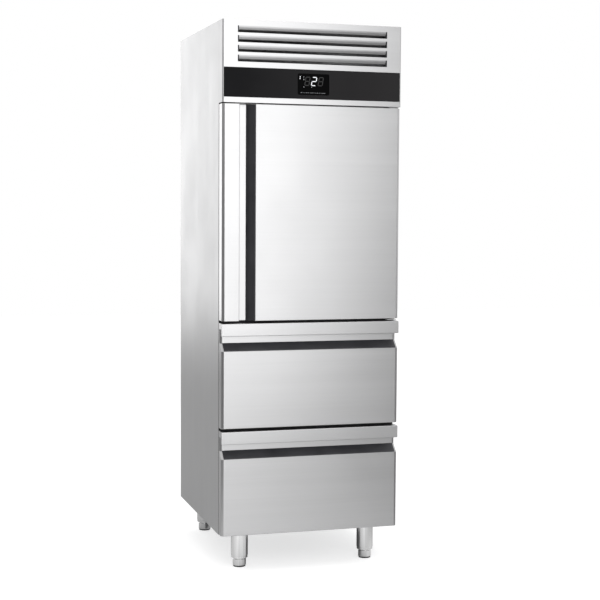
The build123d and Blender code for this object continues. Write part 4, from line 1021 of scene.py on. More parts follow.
def makeLegs(setup):
    sleeves = []
    bore, bottom, seat = setup["bore"], setup["sleeveBottom"], legTop - setup["flangeThick"]
    for corner in ("front_left", "front_right", "rear_left", "rear_right"):
        low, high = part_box(f"foot_{corner}")
        x, y = (low.x + high.x) / 2, (low.y + high.y) / 2
        sleeve = [(bore, legTop - 0.006), (bore, bottom + 0.0012), (bore + 0.001, bottom)]
        sleeve += [(setup["sleeve"] - less, bottom + up) for less, up in setup["rolledRim"]]
        sleeve += [(setup["sleeve"] - less, legTop - down) for less, down in setup["sleeveTop"]]
        square = roundedBox(setup["flange"], setup["flange"], setup["flangeCorner"], (x, y))
        out = setup["screwAt"]
        screws = screwsAt([(x + dx, y + dy, seat) for dx in (-out, out) for dy in (-out, out)], facing["down"])
        sleeves += [lathe(sleeve, (x, y)), bevelSharp(prism(square, "z", seat, legTop), 0.0006), screws]
        pad = lathe([(0.0, 0.0)] + [(setup["foot"] - less, up) for less, up in setup["pad"]], (x, y))
        foot = lathe([(setup["foot"] - less, up) for less, up in setup["turned"]], (x, y))
        dress(f"foot_{corner}", combine([foot, pad]), ["legSteel", "gasketRubber"])
    dress("leg_sleeves", together(sleeves), "legSteel")


makeLegs(legSizes)


# Seals: how far the outer lip stays inside the front's side edges, and the bellows section, inwards and outwards
seal = {"free": 0.0015, "hinge": 0.0150, "corner": 0.006, "lip": [0.0, 0.0046],
        "bellows": [(0.0020, 0.0050), (0.0020, 0.0056), (0.0022, 0.0077), (0.0190, 0.0077), (0.0200, 0.0066),
                    (0.0188, 0.0052), (0.0205, 0.0036), (0.0220, 0.0028), (0.0220, 0.0)]}


def makeSeal(node, setup):
    # The section is carried round the rim with square mitres; the lip reaches out beside it
    low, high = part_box(node)
    lipEnd = half - setup["hinge" if node == "door_gasket" else "free"]
    rims = [(-half + setup["free"], lipEnd, 0.0, out) for out in setup["lip"]]
    rims += [(low.x, high.x, inward, out) for inward, out in setup["bellows"]]
    loops = []
    for left, right, inward, out in rims:
        middle = ((left + right) / 2, (low.z + high.z) / 2)
        a, b = (right - left) / 2 - inward, (high.z - low.z) / 2 - inward
        corner = max(setup["corner"] - inward * 0.2, 0.001)
        loops.append(onPlane(roundedBox(a, b, corner, middle, 3), "y", panelRear + out))
    dress(node, loft(loops, ring=True), "gasketRubber", 50)


# Sheet behind the door, with a raised middle: half width, margin above and below, rise, draft and corner
rearPan = {"halfWide": 0.264, "margin": 0.035, "flat": 0.016, "draft": 0.009, "corner": 0.022, "rimCorner": 0.003,
           # Share of the draft, radius taken off the corner, depth below the raised middle
           "shoulder": [(0.75, 0.004, 0.0025), (0.92, 0.006, 0.0007), (1.2, 0.008, 0.0)]}


def makeRearPan(node, setup):
    low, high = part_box(node)
    middle = ((low.x + high.x) / 2, (low.z + high.z) / 2)
    halfX, halfZ = (high.x - low.x) / 2, (high.z - low.z) / 2
    panX, panZ, corner = setup["halfWide"], halfZ - setup["margin"], setup["corner"]
    rim = roundedBox(halfX, halfZ, setup["rimCorner"], middle, 6)
    loops = [onPlane(rim, "y", panelRear - sheet), onPlane(rim, "y", panelRear)]
    steps = [(0.0, 0.0, 0.0), (0.0008, 0.0, 0.0012)]
    steps += [(setup["draft"] * share, trim, setup["flat"] - down) for share, trim, down in setup["shoulder"]]
    for inward, trim, rise in steps:
        outline = roundedBox(panX - inward, panZ - inward, corner - trim, middle, 6)
        loops.append(onPlane(outline, "y", panelRear + rise))
    dress(node, loft(loops), "linerSteel", 40)


# Door: bar at its left edge, finger recess behind it, black grip and flat panel
door = {"chamfer": 0.009, "bar": 0.066, "barThick": 0.016, "hidden": 0.022, "recess": 0.038, "gripStart": 0.0975,
        "gripEnd": 0.130, "strip": 0.003, "flange": 0.016, "edge": 0.0011, "pocket": 1.1 * sheet,
        "folds": [0.001, 0.003, 0.003, 0.0018, 0.0012, 0.002, 0.003, 0.003, 0.0008, 0.003, 0.003, 0.001]}


def makeDoor(setup):
    low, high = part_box("door_skin")
    left, chamfer, strip = low.x, setup["chamfer"], setup["strip"]
    barEnd, hidden, gripIn, gripOut = (left + setup[key] for key in ("bar", "hidden", "gripStart", "gripEnd"))
    barRear, deep = front + setup["barThick"], front + setup["recess"]
    corners = [
        (left, panelRear), (left, front + chamfer), (left + chamfer, front), (barEnd, front), (barEnd, barRear),
        (hidden, barRear), (hidden, deep), (gripIn + strip, deep), (gripOut, face), (half - chamfer, face),
        (half, face + chamfer), (half, panelRear),
    ]
    skin = bevelSharp(prism(roundCorners(corners, setup["folds"]), "z", low.z, high.z), setup["edge"], 2, 50)
    pocketRear(skin, panelRear, setup["flange"] - setup["edge"], setup["pocket"])
    dress("door_skin", skin, "frontSteel")
    grip = [(gripIn, deep), (gripIn + 0.010, front + 0.0268), (gripIn + 0.0215, front + 0.0150),
            (gripOut - strip - 0.001, face + 0.0006), (gripOut - strip, face), (gripOut, face), (gripIn + strip, deep)]
    gripBody = bevelSharp(prism(roundCorners(grip, 0.0009), "z", low.z, high.z), 0.0008, 2, 50)
    dress("door_grip", gripBody, "gripPlastic")
    makeSeal("door_gasket", seal)
    makeRearPan("door_liner", rearPan)


makeDoor(door)

# Drawers: front with a bar along its top, grip, seal, and an open box behind
drawer = {"bar": 0.0475, "gripStart": 0.074, "gripEnd": 0.105,
          "folds": [0.001, 0.0005, 0.001, 0.002, 0.002, 0.001, 0.0025, 0.001],
          "barFolds": [0.0022, 0.0022, 0.0012, 0.0005],
          # Rounded end of the front, in shares of the door's chamfer: place along it, depth behind the face
          "ends": [(0.0, 1.0), (0.12, 0.72), (0.85, 0.06), (1.25, 0.0)]}
drawerBox = {"halfWide": 0.269, "long": 0.600, "corner": 0.014, "hem": 0.006,
             "tall": {"upper": 0.230, "lower": 0.200}, "floor": {"upper": 0.6005, "lower": 0.224}}


def makeDrawer(prefix, setup):
    node = f"{prefix}_drawer"
    low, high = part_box(f"{node}_skin")
    bottom, peak, chamfer, strip = low.z, high.z, door["chamfer"], door["strip"]
    barRear, deep, hidden = front + door["barThick"], front + door["recess"], peak - door["hidden"]
    gripIn, gripOut, barEnd = peak - setup["gripStart"], peak - setup["gripEnd"], peak - setup["bar"]

    def section(inward):
        return roundCorners([
            (panelRear, peak), (barRear, peak), (barRear, hidden), (deep + inward, hidden),
            (deep + inward, gripIn - strip), (face + inward, gripOut), (face + inward, bottom), (panelRear, bottom),
        ], setup["folds"])

    stations = [(-half + chamfer * along, chamfer * share) for along, share in setup["ends"]]
    stations += [(-x, inward) for x, inward in reversed(stations)]
    panel = loft([onPlane(section(inward), "x", x) for x, inward in stations])
    pocketRear(panel, panelRear, door["flange"] - 0.001, door["pocket"])
    bar = roundCorners([(front, peak), (front, barEnd), (barRear, barEnd), (barRear, peak)], setup["barFolds"])
    barBody = bevelSharp(prism(bar, "x", -half, half), door["edge"], 2, 50)
    dress(f"{node}_skin", together([panel, barBody]), "frontSteel")
    grip = [(deep, gripIn), (front + 0.0268, gripIn - 0.0098), (front + 0.0150, gripIn - 0.0206),
            (face + 0.0006, gripOut + strip + 0.001), (face, gripOut + strip), (face, gripOut), (deep, gripIn - strip)]
    end = half - chamfer
    gripBody = bevelSharp(prism(roundCorners(grip, 0.0009), "x", -end, end), 0.0008, 2, 50)
    dress(f"{node}_grip", gripBody, "gripPlastic")
    makeSeal(f"{node}_gasket", seal)
    makeDrawerBox(prefix, drawerBox)


def makeDrawerBox(prefix, setup):
    # Open box with rounded upright corners and a hemmed rim, and the flat sheet behind the front
    low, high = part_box(f"{prefix}_drawer_box")
    floor, hem = setup["floor"][prefix], setup["hem"]
    rim = floor + setup["tall"][prefix]
    a, b, r = setup["halfWide"], setup["long"] / 2, setup["corner"]
    middle = (0, panelRear + b)
    outside = [
        (0.006, floor), (0.0018, floor + 0.0016), (0.0, floor + 0.006), (0.0, rim - 0.0030), (0.0, rim - 0.0014),
    ]
    hemmed = [(hem - 0.0009, -0.0014), (hem, -0.0008), (hem - 0.0009, 0.0), (0.0012, 0.0), (0.0, -0.0003)]
    inside = [(sheet, rim - 0.0010), (sheet, floor + 0.0072), (0.003, floor + 0.0028), (0.007, floor + sheet)]

    def shrunk(rows):
        return [onPlane(roundedBox(a - trim, b - trim, r - trim, middle, 5), "z", z) for trim, z in rows]

    edge = [onPlane(roundedBox(a + out, b, r, middle, 5), "z", rim + up) for out, up in hemmed]
    box = loft(shrunk(outside) + edge + shrunk(inside))
    rear = bevelSharp(prism(rectangle(low.x, high.x, low.y, low.y + sheet), "z", low.z, high.z), 0.0003, 1)
    dress(f"{prefix}_drawer_box", together([box, rear]), "linerSteel", 40)


makeDrawer("upper", drawer)
makeDrawer("lower", drawer)
print("fronts made")

# Pieces that keep the CAD shape, with folded edges rounded: finish, edge radius
foldedParts = {
    "hinge_bracket_upper": ("legSteel", 0.0005), "hinge_bracket_lower": ("legSteel", 0.0005),
    "door_bushes": ("nylon", 0.0004),
    "inner_liner": ("linerSteel", 0.0005), "roof_deck": ("zincSheet", 0.0004), "base_panel": ("zincSheet", 0.0004),
    "shelf_uprights_left": ("linerSteel", 0.0003), "shelf_uprights_right": ("linerSteel", 0.0003),
    "shelf_runners_1": ("linerSteel", 0.0003), "shelf_runners_2": ("linerSteel", 0.0003),
    "shelf_runners_3": ("linerSteel", 0.0003), "unit_tray": ("zincSheet", 0.0004),
    "upper_drawer_middle_rails": ("railZinc", 0.0004), "lower_drawer_middle_rails": ("railZinc", 0.0004),
    "upper_drawer_rails": ("railZinc", 0.0004), "lower_drawer_rails": ("railZinc", 0.0004),
    "drawer_fixed_rails": ("railZinc", 0.0004), "control_box": ("greyPlastic", 0.0012),
}
uprightScrews = [(y, z) for y in (-0.271, 0.283) for z in (1.012, 1.580)]
screwRows = {
    "hinge_bracket_upper": ("front", [(0.3405, -0.348, z) for z in (1.783, 1.797)]),
    "hinge_bracket_lower": ("front", [(0.3405, -0.348, z) for z in (0.931, 0.945)]),
    "shelf_uprights_left": ("right", [(-0.278, y, z) for y, z in uprightScrews]),
    "shelf_uprights_right": ("left", [(0.278, y, z) for y, z in uprightScrews]),
    "unit_tray": ("up", [(x, y, 1.7957) for x in (-0.285, 0.285) for y in (-0.31, 0.305)]),
    "control_box": ("back", [(x, 0.052, z) for x in (-0.30, -0.11) for z in (1.811, 1.888)]),
}


def makeFolded(rows, screwPlaces):
    for node, (finish, edge) in rows.items():
        parts = [softened(node, edge, 2, 35)]
        if node in screwPlaces:
            way, places = screwPlaces[node]
            parts.append(screwsAt(places, facing[way]))
        dress(node, combine(parts), [finish, "railZinc"][:len(parts)])


makeFolded(foldedParts, screwRows)

# Front frame and mullions, each with the dark plastic strip that keeps the cold from its outer steel; the strips also
# darken the gaps round the fronts, as painted shade
breakerAndGapShade = {"thick": 0.0008, "inner": 0.3316, "outer": 0.3492, "halfTall": 0.0082, "edge": 0.0003, "topShort": 0.020,
           "lintel": (1.7675, 1.7735), "mullions": (0.5465, 0.955), "frameEdge": 0.0006, "mullionEdge": 0.0008}


def makeFrames(setup):
    low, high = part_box("front_frame")
    inner, tall = setup["inner"], setup["halfTall"]
    y0, y1 = bodyFront - setup["thick"], bodyFront + 0.0002

    def finished(node, edge, bars):
        strips = together([bevelSharp(bar, setup["edge"], 1) for bar in bars])
        dress(node, combine([softened(node, edge, 2, 35), strips]), ["linerSteel", "gasketRubber"])

    bars = []
    for a, b in ((-setup["outer"], -inner), (inner, setup["outer"])):
        bars.append(prism(rectangle(a, b, y0, y1), "z", low.z, high.z - setup["topShort"]))
    bars.append(prism(rectangle(-inner, inner, y0, y1), "z", *setup["lintel"]))
    finished("front_frame", setup["frameEdge"], bars)
    bars = [prism(rectangle(y0, y1, z - tall, z + tall), "x", -inner, inner) for z in setup["mullions"]]
    finished("mullions", setup["mullionEdge"], bars)


makeFrames(breakerAndGapShade)

# Wire shelves: round rim rod, two cross rods above and a row of thin wires below
shelf = {
    "rod": 0.004, "wire": 0.0018, "corner": 0.020, "pitch": 0.0215, "wires": 22, "crossAt": 0.1124, "weld": 0.00005,
}


def makeShelf(number, setup):
    node = f"wire_shelf_{number}"
    low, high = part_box(node)
    rod, wire, pitch = setup["rod"], setup["wire"], setup["pitch"]
    y, z = (low.y + high.y) / 2, high.z - setup["weld"] - rod
    edgeX, edgeY = (high.x - low.x) / 2 - rod, (high.y - low.y) / 2 - rod
    signs = ((1, 1), (-1, 1), (-1, -1), (1, -1))
    corners = [(a * edgeX, y + b * edgeY, z) for a, b in signs]
    rim = tube(corners, rod, setup["corner"], 12, 6, closed=True)
    cross = growMesh("wireRow", {
        "Count": 2, "Start": (-edgeX, y - setup["crossAt"], z + setup["weld"]), "Step": (0, 2 * setup["crossAt"], 0),
        "Run": (2 * edgeX, 0, 0), "Radius": rod, "Sides": 12, "Finish": materials["shelfWire"],
    })
    span = (setup["wires"] - 1) * pitch
    wires = growMesh("wireRow", {
        "Count": setup["wires"], "Start": (-span / 2, y - edgeY, z - rod - wire), "Step": (pitch, 0, 0),
        "Run": (0, 2 * edgeY, 0), "Radius": wire, "Sides": 8, "Finish": materials["shelfWire"],
    })
    dress(node, together([rim, cross, wires]), "shelfWire")


for shelfNumber in (1, 2, 3):
    makeShelf(shelfNumber, shelf)
print("cold room made")

# Terminal box with a cable gland: a hexagon and a ribbed nut with its bore
terminal = {
    "corner": 0.004, "edge": 0.0012, "lid": 0.012, "lidGap": 0.0004,
    "gland": 0.011, "length": 0.022, "hexagon": 0.006, "ribs": 16, "ribShare": 0.035,
    "nut": [(0.006, 0.80), (0.0065, 0.86), (0.0185, 0.86), (0.0215, 0.72), (0.0215, 0.42), (0.0180, 0.40)],
    "screwsY": (0.006, 0.044), "screwsZ": (0.006, 0.074),
}


def makeTerminal(setup):
    low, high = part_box("terminal_box")
    wall = high.x - setup["length"]
    middle = ((low.y + high.y) / 2, (low.z + high.z) / 2)
    outline = roundCorners(rectangle(low.y, high.y, low.z, high.z), setup["corner"], 4)
    lidStart = wall - setup["lid"]
    shell = [
        bevelSharp(prism(outline, "x", x0, x1), setup["edge"], 2, 50)
        for x0, x1 in ((low.x, lidStart), (lidStart + setup["lidGap"], wall))
    ]
    hexagon = prism(disc(setup["gland"] * 0.98, middle, 6), "x", wall, wall + setup["hexagon"])
    nut = []
    for along, share in setup["nut"]:
        loop = []
        for n in range(2 * setup["ribs"]):
            turn = n * math.pi / setup["ribs"]
            radius = setup["gland"] * share * (1 + setup["ribShare"] * (n % 2))
            loop.append((wall + along, middle[0] + radius * math.cos(turn), middle[1] + radius * math.sin(turn)))
        nut.append(loop)
    places = [(wall, low.y + a, low.z + b) for a in setup["screwsY"] for b in setup["screwsZ"]]
    parts = [together(shell), bevelSharp(hexagon, 0.0006, 1), loft(nut), screwsAt(places, facing["right"])]
    dress("terminal_box", combine(parts), ["greyPlastic", "blackPaint", "blackPaint", "railZinc"])


makeTerminal(terminal)

# Compressor: domed shell with a weld lip, mounting plate on rubber feet, terminal cover and a copper stub
motorPump = {
    "x": 0.170, "y": 0.150, "radius": 0.088, "low": 1.8097, "high": 1.9857, "seam": 0.082,
    "plateX": 0.206, "plateY": 0.156, "plateCorner": 0.016, "plateThick": 0.004, "footX": 0.088, "footY": 0.052,
    # Radius and height of a rubber foot
    "rubber": [(0.006, 1.7957), (0.0108, 1.7957), (0.0110, 1.7975), (0.0095, 1.8010), (0.0095, 1.8030),
               (0.0108, 1.8050), (0.0080, 1.80575)],
    # Radius and height above the plate of a bolt
    "bolt": [(0.0062, 0.0), (0.0062, 0.0045), (0.0052, 0.0055), (0.0030, 0.0056), (0.0030, 0.0105), (0.0024, 0.0110)],
    # Place beside the shell's middle, then radius and depth below its top
    "stubAt": (0.066, -0.032),
    "stub": [(0.0055, 0.052), (0.0055, 0.020), (0.0042, 0.018), (0.0042, 0.008), (0.0030, 0.007)],
}


def makeCompressor(setup):
    x, y, r, z0, z1 = setup["x"], setup["y"], setup["radius"], setup["low"], setup["high"]
    seam = z0 + setup["seam"]
    profile = [(0.0, z0)] + arcPoints((r - 0.026, z0 + 0.022), 0.0235, 0.022, -90, 0, 6)
    profile += [(r - 0.0025, seam - 0.006), (r - 0.0020, seam - 0.0035), (r, seam - 0.0030), (r, seam + 0.0010)]
    profile += [(r - 0.0018, seam + 0.0022), (r - 0.0022, z1 - 0.050)]
    profile += arcPoints((r - 0.060, z1 - 0.042), 0.0572, 0.042, 4, 86, 10) + [(0.0, z1)]
    shell = lathe(profile, (x, y), steps=56)
    outline = roundedBox(setup["plateX"] / 2, setup["plateY"] / 2, setup["plateCorner"], (x, y), 5)
    plate = bevelSharp(prism(outline, "z", z0 - setup["plateThick"], z0), 0.0008, 2, 60)
    coverEnd = x - r - 0.025
    coverRows = ((x - 0.08, 0.0), (coverEnd, 0.0), (coverEnd - 0.0025, 0.0012), (coverEnd - 0.0030, 0.0035))
    cover = [
        onPlane(roundedBox(0.031 - trim, 0.028 - trim, 0.007, (y, z0 + 0.060), 4), "x", level)
        for level, trim in coverRows
    ]
    aside, along = setup["footX"], setup["footY"]
    spots = [(x + dx, y + dy) for dx in (-aside, aside) for dy in (-along, along)]
    feet = [lathe(setup["rubber"], spot, steps=24) for spot in spots]
    bolts = [lathe([(radius, z0 + up) for radius, up in setup["bolt"]], spot, steps=6) for spot in spots]
    dx, dy = setup["stubAt"]
    stub = lathe([(radius, z1 - down) for radius, down in setup["stub"]], (x + dx, y + dy), steps=16)
    parts = [together([shell, plate]), loft(cover), together(feet), together(bolts), stub]
    dress("compressor", combine(parts), ["blackPaint", "greyPlastic", "gasketRubber", "railZinc", "copper"])


makeCompressor(motorPump)

# Finned coils: end plates, a row of thin fins, tubes through them and bends at both ends
coils = {
    "condenser_coil": {"end": 0.010, "pitch": 0.0034, "fin": 0.0004, "tubes": 8, "columns": 2, "tube": 0.0045},
    "evaporator_coil": {"end": 0.012, "pitch": 0.0062, "fin": 0.0004, "tubes": 4, "columns": 6, "tube": 0.0050},
}
coilTrim = {"finShortY": 0.003, "finShortZ": 0.006, "plateHalf": 0.0008, "rail": 0.0016, "tubeMargin": 0.010,
            "bend": 0.006}


def makeCoil(node, setup, trim):
    low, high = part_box(node)
    end, radius = setup["end"], setup["tube"]
    deep, tall = high.y - low.y, high.z - low.z
    x0, x1 = low.x + end, high.x - end
    run = high.x - low.x - 2 * end
    fins = growMesh("plateRow", {
        "Count": int(run / setup["pitch"]), "Step": (setup["pitch"], 0, 0),
        "Start": (x0 + setup["pitch"], (low.y + high.y) / 2, (low.z + high.z) / 2),
        "Plate": (setup["fin"], deep - trim["finShortY"], tall - trim["finShortZ"]),
        "Finish": materials["finAluminium"],
    })
    plates, tubes = [], []
    outline = roundCorners(rectangle(low.y, high.y, low.z, high.z), 0.002)
    for x in (x0, x1):
        plates.append(bevelSharp(prism(outline, "x", x - trim["plateHalf"], x + trim["plateHalf"]), 0.0003, 1, 50))
    for z0, z1 in ((low.z, low.z + trim["rail"]), (high.z - trim["rail"], high.z)):
        plates.append(prism(rectangle(x0, x1, low.y, high.y), "z", z0, z1))
    first = low.z + trim["tubeMargin"]
    pitchZ = (tall - 2 * trim["tubeMargin"]) / setup["tubes"]
    for column in range(setup["columns"]):
        y = low.y + deep * (column + 0.5) / setup["columns"]
        tubes.append(growMesh("wireRow", {
            "Count": setup["tubes"], "Start": (x0, y, first + pitchZ / 2), "Step": (0, 0, pitchZ),
            "Run": (run, 0, 0), "Radius": radius, "Sides": 8, "Finish": materials["copper"],
        }))
        for row in range(setup["tubes"] - 1):
            z = first + pitchZ * (row + 0.5)
            x, out = (x0, -1) if (row + column) % 2 else (x1, 1)
            far = x + out * (end - radius)
            route = [(x, y, z), (far, y, z), (far, y, z + pitchZ), (x, y, z + pitchZ)]
            tubes.append(tube(route, radius, trim["bend"], 8, 3))
    dress(node, combine([fins, together(plates), together(tubes)]), ["finAluminium", "zincSheet", "copper"])


for coilNode, coilSetup in coils.items():
    makeCoil(coilNode, coilSetup, coilTrim)

# Fans: cambered blades round a domed hub, with the shaft behind
fans = {
    "condenser_fan_blade": {"name": "condenserFan", "axis": "y", "facing": "back", "radius": 0.090, "middle": -0.239},
    "evaporator_fan_blade": {"name": "evaporatorFan", "axis": "z", "facing": "up", "radius": 0.086, "middle": 1.6325},
}
fanShape = {
    "blades": 5, "hub": 0.024, "hubLength": 0.026, "shaft": 0.004, "thick": 0.0016, "camber": 0.0030, "root": 0.86,
    # Blade sections from the hub outwards: share of the radius, half chord, pitch in degrees
    "sections": [(0.0, 0.014, 36), (0.3, 0.020, 32), (0.6, 0.0245, 27), (0.85, 0.0255, 23), (0.96, 0.0215, 21),
                 (1.0, 0.013, 20)],
    # Hub's dome: share of its radius, distance from its front
    "dome": [(0.0, 0.0), (0.45, 0.0004), (0.80, 0.0028), (0.96, 0.0070), (1.0, 0.0120)],
}


def fanBlade(tip, shape):
    root = shape["hub"] * shape["root"]
    loops = []
    for share, chord, pitch in shape["sections"]:
        r = root + (tip - root) * share
        turn = math.radians(pitch)
        loop = []
        for side in (1, -1):
            for n in range(9):
                a = (-1 + 2 * n / 8) * side
                across = chord * a
                lift = shape["camber"] * (1 - a * a) + side * shape["thick"] / 2 * (1 - 0.6 * a * a)
                y = across * math.cos(turn) - lift * math.sin(turn)
                loop.append((r - abs(across) * 0.12, y, across * math.sin(turn) + lift * math.cos(turn)))
        loops.append(loop)
    return loft(loops)


def makeFan(node, setup, shape):
    low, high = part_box(node)
    hub, shaft, axis, along = shape["hub"], shape["shaft"], setup["axis"], setup["middle"]
    blade = partHolder("bladeBlank", fanBlade(setup["radius"], shape), "fanPlastic")
    if axis == "y":
        flat = ((low.x + high.x) / 2, (low.z + high.z) / 2)
    else:
        flat = ((low.x + high.x) / 2, (low.y + high.y) / 2)
    shaftEnd = getattr(high, axis)
    wheel = growMesh("fanWheel", {
        "Blades": shape["blades"], "Blade": blade, "Centre": onPlane([flat], axis, along)[0],
        "Facing": facing[setup["facing"]], "Finish": materials["fanPlastic"],
    })
    bpy.data.objects.remove(blade)
    start, end = along - shape["hubLength"] / 2, along + shape["hubLength"] / 2
    profile = [(hub * share, start + inwards) for share, inwards in shape["dome"]]
    profile += [(hub, end - 0.001), (hub - 0.001, end), (hub * 0.3, end)]
    core = lathe(profile, flat, axis, 32)
    rod = lathe([(shaft, along), (shaft, shaftEnd - 0.0008), (shaft - 0.0008, shaftEnd)], flat, axis, 16)
    dress(node, combine([together([wheel, core]), rod]), ["fanPlastic", "railZinc"], 50, setup["name"])


for fanNode, fanSetup in fans.items():
    makeFan(fanNode, fanSetup, fanShape)

# Condenser shroud with its motor, and rings of wire across the fan opening
shroud = {"axis": (-0.100, 1.9107), "ringPlane": -0.2115, "motor": 0.0345, "motorFront": -0.2135,
          "rings": 6, "first": 0.042, "pitch": 0.0105, "wire": 0.0011,
          # Motor's cooling ribs: places along the shaft, then radius and offset of their section
          "ribs": (-0.210, -0.196, -0.182),
          "rib": [(0.0335, 0.0), (0.0342, 0.0005), (0.0342, 0.0015), (0.0335, 0.002)]}


def ringGuard(setup, centre, facingWay, finish):
    return growMesh("ringGuard", {
        "Rings": setup["rings"], "First": setup["first"], "Pitch": setup["pitch"], "Wire": setup["wire"],
        "Centre": centre, "Facing": facing[facingWay], "Finish": materials[finish],
    })


def makeShroud(setup):
    whole = softened("condenser_shroud", 0.0006, 2, 40)
    for face in whole.faces:
        spot = face.calc_center_median()
        beside = (Vector((spot.x, spot.z)) - Vector(setup["axis"])).length
        if beside < setup["motor"] and spot.y > setup["motorFront"]:
            face.material_index = 1
    centre = (setup["axis"][0], setup["ringPlane"], setup["axis"][1])
    addTo(whole, ringGuard(setup, centre, "front", "railZinc"), 2)
    for start in setup["ribs"]:
        addTo(whole, lathe([(radius, start + along) for radius, along in setup["rib"]], setup["axis"], "y", 40), 1)
    dress("condenser_shroud", whole, ["zincSheet", "blackPaint", "railZinc"])


makeShroud(shroud)

# Receiver and copper pipes with their nuts
pipes = {
    "radius": 0.005, "bend": 0.018,
    "liquid": [(-0.150, 0.170, 1.9337), (-0.150, 0.170, 1.9957), (0.115, 0.170, 1.9957), (0.115, -0.295, 1.9957),
               (0.115, -0.295, 1.9107), (0.0652, -0.295, 1.9107)],
    "discharge": [(0.170, 0.0625, 1.8557), (0.170, -0.295, 1.8557), (0.0652, -0.295, 1.8557)],
    "suction": [(0.120, 0.252, 1.7347), (0.120, 0.252, 1.9257), (0.120, 0.2256, 1.9257)],
    "receiver": (-0.150, 0.170), "receiverRadius": 0.038, "receiverLow": 1.7957, "receiverHigh": 1.9457,
    # Radius and distance from the nut's seat, then each nut's place beside its axis, its seat and its axis
    "nut": [(0.0060, 0.0), (0.0085, 0.0004), (0.0088, 0.0020), (0.0088, 0.0100), (0.0078, 0.0120), (0.0060, 0.0125)],
    "nuts": [((-0.150, 0.170), 1.9462, "z"), ((-0.295, 1.9107), 0.0655, "x"), ((-0.295, 1.8557), 0.0655, "x")],
}


def makePipes(setup):
    lines = [tube(setup[key], setup["radius"], setup["bend"], 12, 6) for key in ("liquid", "discharge", "suction")]
    r, z0, z1 = setup["receiverRadius"], setup["receiverLow"], setup["receiverHigh"]
    profile = [(0.0, z0 + 0.004)] + arcPoints((r - 0.012, z0 + 0.014), 0.012, 0.010, -90, 0, 5)
    profile += [(r, z0 + 0.060), (r, z1 - 0.060), (r, z1 - 0.020)]
    profile += arcPoints((r - 0.016, z1 - 0.013), 0.016, 0.013, 0, 90, 6) + [(0.0, z1)]
    vessel = lathe(profile, setup["receiver"], steps=40)
    flare = [
        (r - 0.010, z0), (r - 0.002, z0), (r - 0.002, z0 + 0.0016), (r - 0.006, z0 + 0.0022), (r - 0.008, z0 + 0.012),
    ]
    foot = lathe(flare, setup["receiver"], steps=40)
    nuts = [
        lathe([(radius, seat + along) for radius, along in setup["nut"]], beside, axis, 6)
        for beside, seat, axis in setup["nuts"]
    ]
    parts = [together(lines), together([vessel, foot]), together(nuts)]
    dress("refrigerant_pipes", combine(parts), ["copper", "blackPaint", "railZinc"])


makePipes(pipes)

# Evaporator: cover with a wire guard under its fan, and the motor on its bar
evaporator = {"centre": (0.0, -0.003, 1.6085), "rings": 7, "first": 0.018, "pitch": 0.0118, "wire": 0.0012,
              "spokes": 6, "reach": 0.0945, "screwX": 0.012, "screwY": 0.014}


def makeEvaporator(setup):
    cover = softened("evaporator_cover", 0.0008, 2, 40)
    guard = ringGuard(setup, setup["centre"], "up", "shelfWire")
    x, y, z = setup["centre"]
    spokes = []
    for n in range(setup["spokes"] // 2):
        turn = math.pi * n / (setup["spokes"] / 2)
        out, along = setup["reach"] * math.cos(turn), setup["reach"] * math.sin(turn)
        ends = [(x - out, y - along, z + setup["wire"]), (x + out, y + along, z + setup["wire"])]
        spokes.append(tube(ends, setup["wire"], 0.0, 8, 1))
    low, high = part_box("evaporator_cover")
    dx, dy = setup["screwX"], setup["screwY"]
    places = [(x, y, low.z) for x in (low.x + dx, high.x - dx) for y in (low.y + dy, high.y - dy)]
    parts = [cover, together([guard] + spokes), screwsAt(places, facing["down"])]
    dress("evaporator_cover", combine(parts), ["linerSteel", "shelfWire", "railZinc"])
    dress("evaporator_fan_motor", softened("evaporator_fan_motor", 0.0010, 2, 40), "blackPaint")


makeEvaporator(evaporator)
bpy.data.objects.remove(screw)
print("machine compartment made")

# Pale floor and white background; camera, mirror and glass rays see the background white
# The values from inMetal on set the painted light and shade that the steel sees in the floor
studio = {"floorTone": (0.70, 0.70, 0.70), "floorGlow": 0.62, "floorReach": 12.0, "skyForLight": 0.70,
          "inMetal": (0.56, 0.0), "shadeToneInMetal": (0.34, 0.34, 0.34),
          "patchMiddle": -0.35, "patchHalf": 0.2, "patchEnd": 1.6, "near": -0.9, "far": 0.4,
          "behind": 0.72, "under": (0.24, 0.28), "edge": 0.11}


def makeSky(setup):
    scene.world = bpy.data.worlds.new("studio")
    scene.world.use_nodes = True
    tree = scene.world.node_tree
    tree.nodes.clear()
    rays = addNode(tree, "ShaderNodeLightPath").outputs
    seen = maths(tree, "MAXIMUM", rays["Is Camera Ray"], rays["Is Glossy Ray"])
    seen = maths(tree, "MAXIMUM", seen, rays["Is Transmission Ray"])
    strength = blendValue(tree, setup["skyForLight"], 1.0, seen)
    sky = addNode(tree, "ShaderNodeBackground", {"Color": (1, 1, 1, 1), "Strength": strength})
    addNode(tree, "ShaderNodeOutputWorld", {"Surface": sky.outputs[0]})


